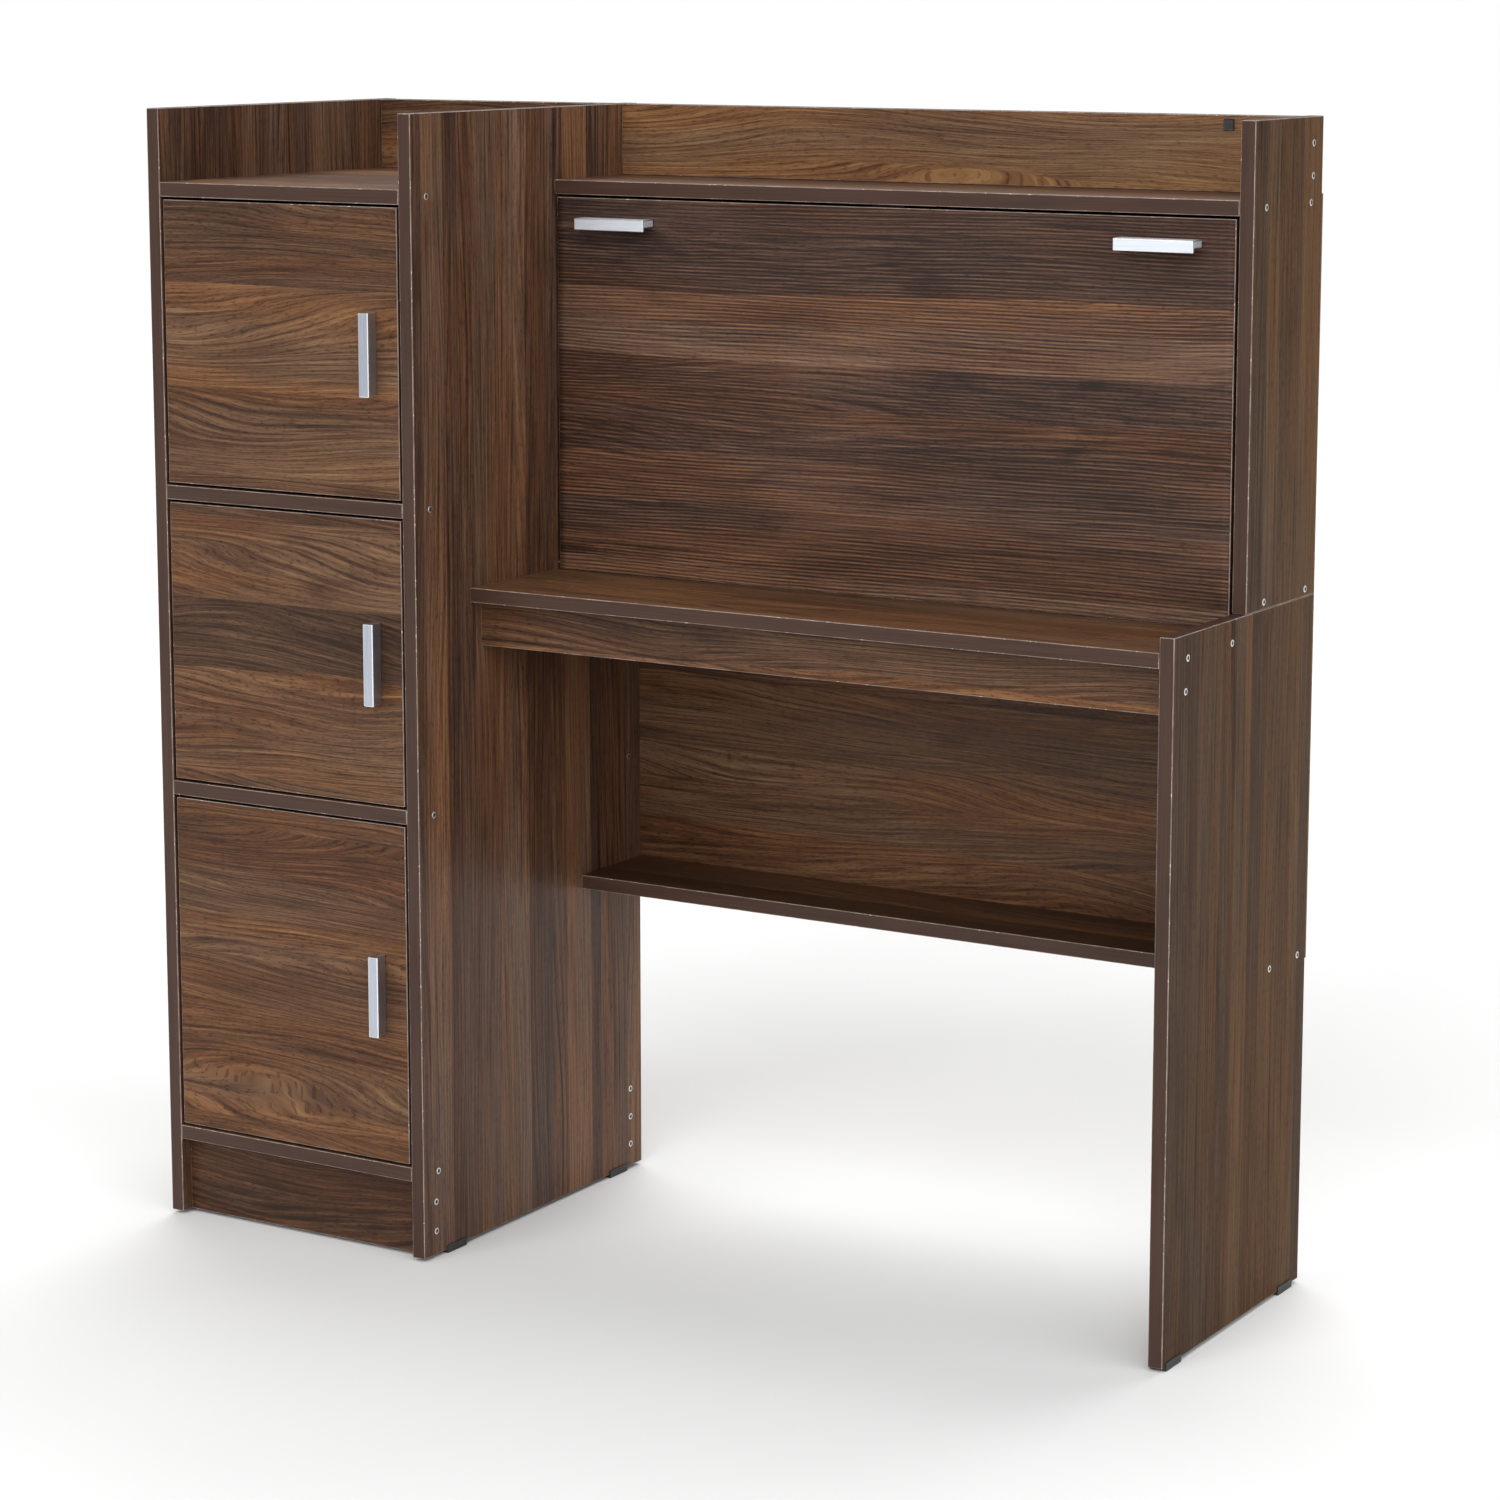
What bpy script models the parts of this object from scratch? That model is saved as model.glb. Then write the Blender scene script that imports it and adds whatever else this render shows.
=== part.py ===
"""Secretary desk in walnut-faced board: a tall tower with three inset doors, and a desk with a hutch
whose front flap drops to lie on the desktop.

Metres, +Z up. The front looks towards -Y. Sizes are given from the maker's corner: X from the outer
face of the left side panel, Y back from the tower's front edge, Z up from the floor. One empty
moves that corner so that the origin lies under the middle of the whole piece.
"""

import math

import bmesh
import bpy
from mathutils import Matrix

MM = 0.001

# Board and fit
BOARD = 16 * MM  # thickness of every structural board
BACK_BOARD = 3 * MM  # thickness of the boards nailed on behind
SEAT_GAP = 0.3 * MM  # between pieces that touch
EDGE_BREAK = 0.7 * MM  # width of the small chamfer on every board edge
GLIDE_HEIGHT = 4 * MM  # floor to the underside of the side panels

# Overall
OVERALL_WIDTH = 1200 * MM
PANEL_HEIGHT = 1250 * MM  # tall side panels, top to bottom
TOWER_WIDTH = 355 * MM  # over both of the tower's side panels
TOWER_DEPTH = 440 * MM
DESK_SETBACK = 100 * MM  # desk front behind the tower front
HUTCH_SETBACK = 270 * MM  # hutch front behind the tower front
DESK_PANEL_HEIGHT = 750 * MM  # lower right panel, top to bottom

# Boards between the panels, measured up from the underside of the panels
GALLERY_RISE = 80 * MM  # height of the low rear wall above the top shelves
GALLERY_INSET = 16 * MM  # rear wall and rear plinth, in from the back edge
PLINTH_HEIGHT = 86 * MM
PLINTH_SETBACK = 15 * MM
LOWER_COMPARTMENT = 384 * MM
MIDDLE_COMPARTMENT = 318 * MM
DESKTOP_DROP = 16 * MM  # desktop surface below the top of the lower right panel
RAIL_HEIGHT = 50 * MM
RAIL_SETBACK = 20 * MM  # front rail behind the desktop edge
FOOT_SHELF_DEPTH = 125 * MM
FOOT_SHELF_TOP = 372 * MM

# Doors
DOOR_SIDE_GAP = 3.5 * MM
DOOR_END_GAP = 3 * MM
DOOR_RECESS = 1 * MM  # door face behind the tower's front edge

# Flap
FLAP_SIDE_GAP = 3.5 * MM
FLAP_TOP_GAP = 3 * MM
FLAP_REST_GAP = 0.5 * MM  # between the open flap and the desktop
FLAP_PIVOT_INSET = 6 * MM  # pin centre from the flap's face and from its lower edge
FLAP_TURN_GAP = 3 * MM  # hutch floor behind the closed flap
PIN_RADIUS = 2.5 * MM
PIN_CLEARANCE = 0.1 * MM
PIN_IN_FLAP = 14 * MM
PIN_IN_PANEL = 7 * MM

# Handles: a front plate on a narrower web, cut from one extrusion
HANDLE_LENGTH = 90 * MM
HANDLE_DEPTH = 22 * MM
HANDLE_PLATE_WIDTH = 13 * MM
HANDLE_PLATE = 3.5 * MM
HANDLE_WEB_WIDTH = 8.5 * MM
DOOR_HANDLE_INSET = 30 * MM  # door edge to the middle of the handle
FLAP_HANDLE_INSET = 37 * MM  # flap end to the near end of the handle
FLAP_HANDLE_DROP = 28 * MM  # flap top to the middle of the handle

# Concealed hinges
CUP_RADIUS = 17.5 * MM
CUP_DEPTH = 12 * MM
CUP_WALL = 1 * MM
CUP_CLEARANCE = 0.25 * MM
CUP_FLANGE = 2.5 * MM  # rim outside the bore
CUP_EDGE = 4.5 * MM  # door edge to the bore
CUP_FROM_END = 60 * MM  # door end to the middle of the cup
ARM_CLEARANCE = 1.5 * MM  # cup to the end of the arm
ARM_HEIGHT = 13 * MM
ARM_BASE_HEIGHT = 34 * MM
ARM_BASE_LENGTH = 42 * MM
ARM_BASE_THICKNESS = 5 * MM
ARM_BASE_SETBACK = 32 * MM  # nose of the arm to the front of its base
ARM_DEPTH = 9 * MM
ARM_NOSE_REACH = 19 * MM  # base to the middle of the nose
ARM_NOSE_WIDTH = 13 * MM

# Magnetic catches
CATCH_THICKNESS = 13 * MM
CATCH_DEPTH = 26 * MM
CATCH_LENGTH = 40 * MM
STRIKE_WIDTH = 11 * MM
STRIKE_LENGTH = 24 * MM
STRIKE_THICKNESS = 1 * MM
STRIKE_EDGE = 2 * MM  # edge of the door or flap to the strike

# Glides: channels pushed onto the lower edges of the side panels
GLIDE_LENGTH = 36 * MM
GLIDE_WALL = 1.2 * MM
GLIDE_LIP = 5 * MM  # how far its walls reach up the panel
TOWER_GLIDE_FRONT = 11 * MM  # front plinth's inner face to the glide
TOWER_GLIDE_REAR = 2 * MM  # rear plinth's inner face to the glide
DESK_GLIDE_FRONT = 7 * MM  # panel's front edge to the glide
DESK_GLIDE_REAR = 19 * MM

# Square cover cap on the hutch gallery
CAP_SIDE = 12 * MM
CAP_THICKNESS = 1.5 * MM
CAP_FROM_TOP = 4 * MM
CAP_FROM_END = 70 * MM

ROUND_SIDES = 32
PIN_SIDES = 24
CUTTER_EXTRA = 2 * MM  # how far a cutter stands out of what it cuts

# Places worked out from the sizes above
panel_bottom = GLIDE_HEIGHT
panel_top = panel_bottom + PANEL_HEIGHT
middle_left = TOWER_WIDTH - BOARD
right_left = OVERALL_WIDTH - BOARD
tower_inside = (BOARD + SEAT_GAP, middle_left - SEAT_GAP)
desk_inside = (TOWER_WIDTH + SEAT_GAP, right_left - SEAT_GAP)
gallery_back = TOWER_DEPTH - GALLERY_INSET
gallery_y = (gallery_back - BOARD, gallery_back)
back_y = (TOWER_DEPTH + SEAT_GAP, TOWER_DEPTH + SEAT_GAP + BACK_BOARD)
back_split = TOWER_WIDTH - BOARD / 2

top_shelf_top = panel_top - GALLERY_RISE
plinth_top = panel_bottom + PLINTH_HEIGHT
bottom_shelf_top = plinth_top + BOARD
lower_shelf_top = bottom_shelf_top + LOWER_COMPARTMENT + BOARD
upper_shelf_top = lower_shelf_top + MIDDLE_COMPARTMENT + BOARD

desk_panel_top = panel_bottom + DESK_PANEL_HEIGHT
desktop_top = desk_panel_top - DESKTOP_DROP
rail_top = desktop_top - BOARD - SEAT_GAP
hutch_floor_bottom = desk_panel_top
foot_shelf_top = panel_bottom + FOOT_SHELF_TOP

flap_x = (TOWER_WIDTH + FLAP_SIDE_GAP, right_left - FLAP_SIDE_GAP)
flap_y = (HUTCH_SETBACK, HUTCH_SETBACK + BOARD)
flap_z = (desktop_top + FLAP_REST_GAP, top_shelf_top - BOARD - FLAP_TOP_GAP)
flap_pivot_y = flap_y[0] + FLAP_PIVOT_INSET
flap_pivot_z = flap_z[0] + FLAP_PIVOT_INSET

door_x = (BOARD + DOOR_SIDE_GAP, middle_left - DOOR_SIDE_GAP)
door_y = (DOOR_RECESS, DOOR_RECESS + BOARD)
hinge_x = door_x[0]
hinge_y = door_y[0]

front_most = DOOR_RECESS - HANDLE_DEPTH
origin_back = (front_most + back_y[1]) / 2


def clear_scene():
    for obj in list(bpy.data.objects):
        bpy.data.objects.remove(obj, do_unlink=True)


def material(name, colour, roughness, metallic=0.0):
    made = bpy.data.materials.new(name)
    made.use_nodes = True
    shader = made.node_tree.nodes["Principled BSDF"]
    shader.inputs["Base Color"].default_value = (*colour, 1.0)
    shader.inputs["Roughness"].default_value = roughness
    shader.inputs["Metallic"].default_value = metallic
    made.diffuse_color = (*colour, 1.0)
    return made


def empty(name, location, parent=None):
    made = bpy.data.objects.new(name, None)
    made.empty_display_size = 0.05
    made.location = location
    made.parent = parent
    bpy.context.collection.objects.link(made)
    return made


def add_object(name, mesh, centre, look, body):
    """Places a mesh whose centre is given from the maker's corner. body is (empty, its corner)."""
    holder, corner = body
    made = bpy.data.objects.new(name, mesh)
    made.location = [centre[i] - corner[i] for i in range(3)]
    made.parent = holder
    if look is not None:
        mesh.materials.append(look)
    bpy.context.collection.objects.link(made)
    return made


def box_mesh(name, size):
    shape = bmesh.new()
    bmesh.ops.create_cube(shape, size=1.0, matrix=Matrix.Diagonal((*size, 1.0)))
    mesh = bpy.data.meshes.new(name)
    shape.to_mesh(mesh)
    shape.free()
    return mesh


def add_bevel(obj, width):
    bevel = obj.modifiers.new("broken_edges", "BEVEL")
    bevel.width = width
    bevel.segments = 1
    bevel.limit_method = "ANGLE"
    bevel.harden_normals = False


def box(name, x, y, z, look, body, bevel=EDGE_BREAK):
    """A block from its low and high faces along each axis."""
    spans = (x, y, z)
    size = [high - low for low, high in spans]
    centre = [(low + high) / 2 for low, high in spans]
    made = add_object(name, box_mesh(name, size), centre, look, body)
    if bevel:
        add_bevel(made, bevel)
    return made


def prism(name, outline, across, height, centre, look, body, bevel=0.0):
    """An outline in a plane, extruded evenly to both sides of it.

    across is the matrix that turns the flat outline, drawn in X and Y, into its place.
    """
    shape = bmesh.new()
    corners = [shape.verts.new((a, b, -height / 2)) for a, b in outline]
    face = shape.faces.new(corners)
    grown = bmesh.ops.extrude_face_region(shape, geom=[face])
    moved = [item for item in grown["geom"] if isinstance(item, bmesh.types.BMVert)]
    bmesh.ops.translate(shape, verts=moved, vec=(0, 0, height))
    bmesh.ops.transform(shape, matrix=across, verts=shape.verts)
    bmesh.ops.recalc_face_normals(shape, faces=shape.faces)
    mesh = bpy.data.meshes.new(name)
    shape.to_mesh(mesh)
    shape.free()
    made = add_object(name, mesh, centre, look, body)
    if bevel:
        add_bevel(made, bevel)
    return made


def turned(name, profile, sides, across, centre, look, body):
    """A closed profile of (radius, height) pairs, turned once round its axis."""
    shape = bmesh.new()
    rings = []
    for radius, height in profile:
        if radius == 0:
            rings.append([shape.verts.new((0, 0, height))])
            continue
        turn = [2 * math.pi * side / sides for side in range(sides)]
        rings.append(
            [shape.verts.new((radius * math.cos(a), radius * math.sin(a), height)) for a in turn]
        )
    for lower, upper in zip(rings, rings[1:]):
        for side in range(sides):
            after = (side + 1) % sides
            if len(lower) == 1:
                shape.faces.new((lower[0], upper[after], upper[side]))
            elif len(upper) == 1:
                shape.faces.new((lower[side], lower[after], upper[0]))
            else:
                shape.faces.new((lower[side], lower[after], upper[after], upper[side]))
    bmesh.ops.transform(shape, matrix=across, verts=shape.verts)
    bmesh.ops.recalc_face_normals(shape, faces=shape.faces)
    mesh = bpy.data.meshes.new(name)
    shape.to_mesh(mesh)
    shape.free()
    mesh.shade_smooth()
    mesh.set_sharp_from_angle(angle=math.radians(35))
    return add_object(name, mesh, centre, look, body)


def rod_profile(radius, length):
    half = length / 2
    return [(0, -half), (radius, -half), (radius, half), (0, half)]


def bore(piece, name, radius, length, sides, across, centre, body):
    """Cuts a round hole. centre is the middle of the cutter."""
    cutter = turned(name, rod_profile(radius, length), sides, across, centre, None, body)
    cutter.hide_render = True
    cutter.display_type = "WIRE"
    cut = piece.modifiers.new(name, "BOOLEAN")
    cut.operation = "DIFFERENCE"
    cut.solver = "EXACT"
    cut.object = cutter


ALONG_X = Matrix.Rotation(math.radians(90), 4, "Y")  # turns +Z to +X
ALONG_Y = Matrix.Rotation(math.radians(-90), 4, "X")  # turns +Z to +Y
UPRIGHT = Matrix.Identity(4)
STANDING = Matrix.Rotation(math.radians(90), 4, "X")  # turns an outline's +Y to +Z

clear_scene()
walnut = material("walnut_board", (0.115, 0.062, 0.036), 0.45)
walnut_door = material("walnut_door", (0.125, 0.066, 0.038), 0.45)
walnut_flap = material("brushed_walnut", (0.11, 0.06, 0.042), 0.6)
back_face = material("printed_back_board", (0.09, 0.052, 0.034), 0.6)
aluminium = material("satin_aluminium", (0.62, 0.64, 0.67), 0.32, 1.0)
steel = material("plated_steel", (0.6, 0.6, 0.6), 0.25, 1.0)
black_plastic = material("black_plastic", (0.012, 0.012, 0.013), 0.5)
catch_plastic = material("brown_plastic", (0.07, 0.04, 0.025), 0.5)

origin = empty("desk_origin", (-OVERALL_WIDTH / 2, -origin_back, 0))
carcass = (origin, (0, 0, 0))


def build_side_panels():
    box("left_side_panel", (0, BOARD), (0, TOWER_DEPTH), (panel_bottom, panel_top), walnut, carcass)
    middle = box(
        "middle_side_panel",
        (middle_left, TOWER_WIDTH),
        (0, TOWER_DEPTH),
        (panel_bottom, panel_top),
        walnut,
        carcass,
    )
    lower = box(
        "right_lower_panel",
        (right_left, OVERALL_WIDTH),
        (DESK_SETBACK, TOWER_DEPTH),
        (panel_bottom, desk_panel_top),
        walnut,
        carcass,
    )
    box(
        "right_upper_panel",
        (right_left, OVERALL_WIDTH),
        (HUTCH_SETBACK, TOWER_DEPTH),
        (desk_panel_top + SEAT_GAP, panel_top),
        walnut,
        carcass,
    )
    hole_length = 2 * (PIN_IN_PANEL + SEAT_GAP)
    for piece, name, face_x in (
        (middle, "left_pin_hole", TOWER_WIDTH),
        (lower, "right_pin_hole", right_left),
    ):
        bore(
            piece,
            name,
            PIN_RADIUS + PIN_CLEARANCE,
            hole_length,
            PIN_SIDES,
            ALONG_X,
            (face_x, flap_pivot_y, flap_pivot_z),
            carcass,
        )


def build_tower():
    shelf_y = (0, TOWER_DEPTH)
    for name, top in (
        ("tower_top_shelf", top_shelf_top),
        ("tower_upper_shelf", upper_shelf_top),
        ("tower_lower_shelf", lower_shelf_top),
        ("tower_bottom_shelf", bottom_shelf_top),
    ):
        box(name, tower_inside, shelf_y, (top - BOARD, top), walnut, carcass)
    box(
        "tower_gallery",
        tower_inside,
        gallery_y,
        (top_shelf_top + SEAT_GAP, panel_top),
        walnut,
        carcass,
    )
    plinth_z = (panel_bottom, plinth_top - SEAT_GAP)
    plinth_y = (PLINTH_SETBACK, PLINTH_SETBACK + BOARD)
    box("front_plinth", tower_inside, plinth_y, plinth_z, walnut, carcass)
    box("rear_plinth", tower_inside, gallery_y, plinth_z, walnut, carcass)
    box(
        "tower_back_panel",
        (0, back_split - SEAT_GAP / 2),
        back_y,
        (plinth_top, top_shelf_top),
        back_face,
        carcass,
        bevel=0,
    )


def build_desk():
    desktop_y = (DESK_SETBACK, HUTCH_SETBACK)
    box("desktop", desk_inside, desktop_y, (desktop_top - BOARD, desktop_top), walnut, carcass)
    rail_y = (DESK_SETBACK + RAIL_SETBACK, DESK_SETBACK + RAIL_SETBACK + BOARD)
    box("desk_front_rail", desk_inside, rail_y, (rail_top - RAIL_HEIGHT, rail_top), walnut, carcass)
    foot_shelf_y = (TOWER_DEPTH - FOOT_SHELF_DEPTH, TOWER_DEPTH)
    foot_shelf_z = (foot_shelf_top - BOARD, foot_shelf_top)
    box("foot_shelf", desk_inside, foot_shelf_y, foot_shelf_z, walnut, carcass)
    box(
        "modesty_panel",
        (back_split + SEAT_GAP / 2, OVERALL_WIDTH),
        back_y,
        (foot_shelf_top - BOARD, desk_panel_top - SEAT_GAP / 2),
        back_face,
        carcass,
        bevel=0,
    )


def build_hutch():
    shelf_z = (top_shelf_top - BOARD, top_shelf_top)
    box("hutch_top_shelf", desk_inside, (HUTCH_SETBACK, TOWER_DEPTH), shelf_z, walnut, carcass)
    floor_y = (flap_y[1] + FLAP_TURN_GAP, TOWER_DEPTH)
    floor_z = (hutch_floor_bottom, hutch_floor_bottom + BOARD)
    box("hutch_floor", desk_inside, floor_y, floor_z, walnut, carcass)
    box(
        "hutch_gallery",
        desk_inside,
        gallery_y,
        (top_shelf_top + SEAT_GAP, panel_top),
        walnut,
        carcass,
    )
    box(
        "hutch_back_panel",
        (back_split + SEAT_GAP / 2, OVERALL_WIDTH),
        back_y,
        (desk_panel_top + SEAT_GAP / 2, top_shelf_top),
        back_face,
        carcass,
        bevel=0,
    )
    cap_right = right_left - CAP_FROM_END
    cap_front = gallery_y[0] - SEAT_GAP - CAP_THICKNESS
    box(
        "square_cover_cap",
        (cap_right - CAP_SIDE, cap_right),
        (cap_front, gallery_y[0] - SEAT_GAP),
        (panel_top - CAP_FROM_TOP - CAP_SIDE, panel_top - CAP_FROM_TOP),
        black_plastic,
        carcass,
        bevel=0.3 * MM,
    )


def glide_outline():
    """Channel section, drawn with its sole at zero height."""
    inside = BOARD / 2 + SEAT_GAP
    outside = inside + GLIDE_WALL
    sole_top = GLIDE_HEIGHT - SEAT_GAP
    lip_top = GLIDE_HEIGHT + GLIDE_LIP
    return [
        (-outside, 0),
        (outside, 0),
        (outside, lip_top),
        (inside, lip_top),
        (inside, sole_top),
        (-inside, sole_top),
        (-inside, lip_top),
        (-outside, lip_top),
    ]


def build_glides():
    tower_front = PLINTH_SETBACK + BOARD + TOWER_GLIDE_FRONT
    tower_rear = gallery_y[0] - TOWER_GLIDE_REAR - GLIDE_LENGTH
    desk_front = DESK_SETBACK + DESK_GLIDE_FRONT
    desk_rear = TOWER_DEPTH - DESK_GLIDE_REAR - GLIDE_LENGTH
    for side, panel_left, front, rear in (
        ("left", 0, tower_front, tower_rear),
        ("middle", middle_left, tower_front, tower_rear),
        ("right", right_left, desk_front, desk_rear),
    ):
        for end, start in (("front", front), ("rear", rear)):
            prism(
                f"{side}_{end}_glide",
                glide_outline(),
                STANDING,
                GLIDE_LENGTH,
                (panel_left + BOARD / 2, start + GLIDE_LENGTH / 2, 0),
                black_plastic,
                carcass,
                bevel=0.4 * MM,
            )


def handle_outline():
    """Cross-section with the plate to -Y. The web is flush with the plate's -X edge."""
    left = -HANDLE_PLATE_WIDTH / 2
    right = HANDLE_PLATE_WIDTH / 2
    web_right = left + HANDLE_WEB_WIDTH
    front = -HANDLE_DEPTH
    plate_back = front + HANDLE_PLATE
    return [
        (left, front),
        (right, front),
        (right, plate_back),
        (web_right, plate_back),
        (web_right, -SEAT_GAP),
        (left, -SEAT_GAP),
    ]


def build_handle(name, across, centre, body):
    prism(name, handle_outline(), across, HANDLE_LENGTH, centre, aluminium, body, bevel=0.4 * MM)


def build_hinge(door_name, end, height, door, body):
    """A cup let into the door's back, and its cranked arm on the left side panel."""
    cup_x = hinge_x + CUP_EDGE + CUP_RADIUS
    cup_mouth = door_y[1]
    bore(
        door,
        f"{door_name}_{end}_cup_bore",
        CUP_RADIUS,
        2 * CUP_DEPTH,
        ROUND_SIDES,
        ALONG_Y,
        (cup_x, cup_mouth, height),
        body,
    )
    outer = CUP_RADIUS - CUP_CLEARANCE
    floor = CUP_CLEARANCE - CUP_DEPTH
    rim_low = SEAT_GAP
    rim_high = SEAT_GAP + CUP_WALL
    cup = [
        (0, floor),
        (outer, floor),
        (outer, rim_low),
        (CUP_RADIUS + CUP_FLANGE, rim_low),
        (CUP_RADIUS + CUP_FLANGE, rim_high),
        (outer - CUP_WALL, rim_high),
        (outer - CUP_WALL, floor + CUP_WALL),
        (0, floor + CUP_WALL),
    ]
    cup_name = f"{door_name}_{end}_hinge_cup"
    turned(cup_name, cup, ROUND_SIDES, ALONG_Y, (cup_x, cup_mouth, height), steel, body)

    nose_y = cup_mouth + rim_high + ARM_CLEARANCE
    base_y = nose_y + ARM_BASE_SETBACK
    base_x = BOARD + SEAT_GAP
    arm_low = base_x + ARM_BASE_THICKNESS - 0.5 * MM
    nose_low = base_x + ARM_NOSE_REACH - ARM_NOSE_WIDTH / 2
    nose_high = nose_low + ARM_NOSE_WIDTH
    arm_high = arm_low + ARM_DEPTH
    arm_outline = [
        (nose_low, nose_y),
        (nose_high, nose_y),
        (nose_high, nose_y + ARM_NOSE_WIDTH),
        (arm_high, base_y + ARM_NOSE_WIDTH),
        (arm_high, base_y + ARM_BASE_LENGTH),
        (arm_low, base_y + ARM_BASE_LENGTH),
        (arm_low, base_y),
        (nose_low, nose_y + ARM_NOSE_WIDTH / 2),
    ]
    arm_name = f"{door_name}_{end}_hinge_arm"
    arm = prism(arm_name, arm_outline, UPRIGHT, ARM_HEIGHT, (0, 0, height), steel, carcass)
    base = box(
        f"{arm_name}_base",
        (base_x, base_x + ARM_BASE_THICKNESS),
        (base_y - 1 * MM, base_y + ARM_BASE_LENGTH + 1 * MM),
        (height - ARM_BASE_HEIGHT / 2, height + ARM_BASE_HEIGHT / 2),
        None,
        carcass,
        bevel=0,
    )
    base.hide_render = True
    base.display_type = "WIRE"
    join = arm.modifiers.new("base", "BOOLEAN")
    join.operation = "UNION"
    join.solver = "EXACT"
    join.object = base


def build_door(door_name, low, high):
    """A door between two shelves, with its handle, hinges, strike and catch."""
    z = (low + DOOR_END_GAP, high - DOOR_END_GAP)
    middle = (z[0] + z[1]) / 2
    corner = (hinge_x, hinge_y, middle)
    body = (empty(f"{door_name}_hinge_axis", corner, origin), corner)
    door = box(door_name, door_x, door_y, z, walnut_door, body)
    handle_x = door_x[1] - DOOR_HANDLE_INSET
    build_handle(f"{door_name}_handle", UPRIGHT, (handle_x, door_y[0], middle), body)
    for end, height in (("lower", z[0] + CUP_FROM_END), ("upper", z[1] - CUP_FROM_END)):
        build_hinge(door_name, end, height, door, body)
    strike_right = door_x[1] - STRIKE_EDGE
    strike_y = (door_y[1] + SEAT_GAP, door_y[1] + SEAT_GAP + STRIKE_THICKNESS)
    box(
        f"{door_name}_strike",
        (strike_right - STRIKE_WIDTH, strike_right),
        strike_y,
        (middle - STRIKE_LENGTH / 2, middle + STRIKE_LENGTH / 2),
        steel,
        body,
        bevel=0,
    )
    catch_right = middle_left - SEAT_GAP
    catch_front = strike_y[1] + SEAT_GAP
    box(
        f"{door_name}_catch",
        (catch_right - CATCH_THICKNESS, catch_right),
        (catch_front, catch_front + CATCH_DEPTH),
        (middle - CATCH_LENGTH / 2, middle + CATCH_LENGTH / 2),
        catch_plastic,
        carcass,
    )


def build_flap():
    """The drop front, with its end pins, handles, strike and catch."""
    corner = (sum(flap_x) / 2, flap_pivot_y, flap_pivot_z)
    body = (empty("flap_pivot_axis", corner, origin), corner)
    flap = box("flap", flap_x, flap_y, flap_z, walnut_flap, body)
    for side, flap_end, outwards in (("left", flap_x[0], -1), ("right", flap_x[1], 1)):
        reach = FLAP_SIDE_GAP + PIN_IN_PANEL
        pin_middle = flap_end + outwards * (reach - PIN_IN_FLAP) / 2
        centre = (pin_middle, flap_pivot_y, flap_pivot_z)
        length = reach + PIN_IN_FLAP
        bore(
            flap,
            f"flap_{side}_pin_hole",
            PIN_RADIUS + PIN_CLEARANCE,
            2 * (PIN_IN_FLAP + SEAT_GAP),
            PIN_SIDES,
            ALONG_X,
            (flap_end, flap_pivot_y, flap_pivot_z),
            body,
        )
        pin = rod_profile(PIN_RADIUS, length)
        turned(f"flap_{side}_pin", pin, PIN_SIDES, ALONG_X, centre, steel, body)

    handle_z = flap_z[1] - FLAP_HANDLE_DROP
    half = HANDLE_LENGTH / 2
    quarter_turn = Matrix.Rotation(math.radians(90), 4, "Y")  # the web's flush edge turns to the top
    for side, handle_x in (
        ("left", flap_x[0] + FLAP_HANDLE_INSET + half),
        ("right", flap_x[1] - FLAP_HANDLE_INSET - half),
    ):
        build_handle(f"flap_{side}_handle", quarter_turn, (handle_x, flap_y[0], handle_z), body)

    middle = sum(flap_x) / 2
    strike_top = flap_z[1] - STRIKE_EDGE
    strike_y = (flap_y[1] + SEAT_GAP, flap_y[1] + SEAT_GAP + STRIKE_THICKNESS)
    box(
        "flap_strike",
        (middle - STRIKE_LENGTH / 2, middle + STRIKE_LENGTH / 2),
        strike_y,
        (strike_top - STRIKE_WIDTH, strike_top),
        steel,
        body,
        bevel=0,
    )
    catch_top = top_shelf_top - BOARD - SEAT_GAP
    catch_front = strike_y[1] + SEAT_GAP
    box(
        "flap_catch",
        (middle - CATCH_LENGTH / 2, middle + CATCH_LENGTH / 2),
        (catch_front, catch_front + CATCH_DEPTH),
        (catch_top - CATCH_THICKNESS, catch_top),
        catch_plastic,
        carcass,
    )


build_side_panels()
build_tower()
build_desk()
build_hutch()
build_glides()
build_door("lower_door", bottom_shelf_top, lower_shelf_top - BOARD)
build_door("middle_door", lower_shelf_top, upper_shelf_top - BOARD)
build_door("upper_door", upper_shelf_top, top_shelf_top - BOARD)
build_flap()
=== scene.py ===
"""Looks of the secretary desk: every board, fitting and fixing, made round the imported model.

The sections follow the order in which the desk is put together. Metres, +Z up, front towards -Y.
"""

import math
import random

import bmesh
import bpy
from mathutils import Matrix, Vector, noise


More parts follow.
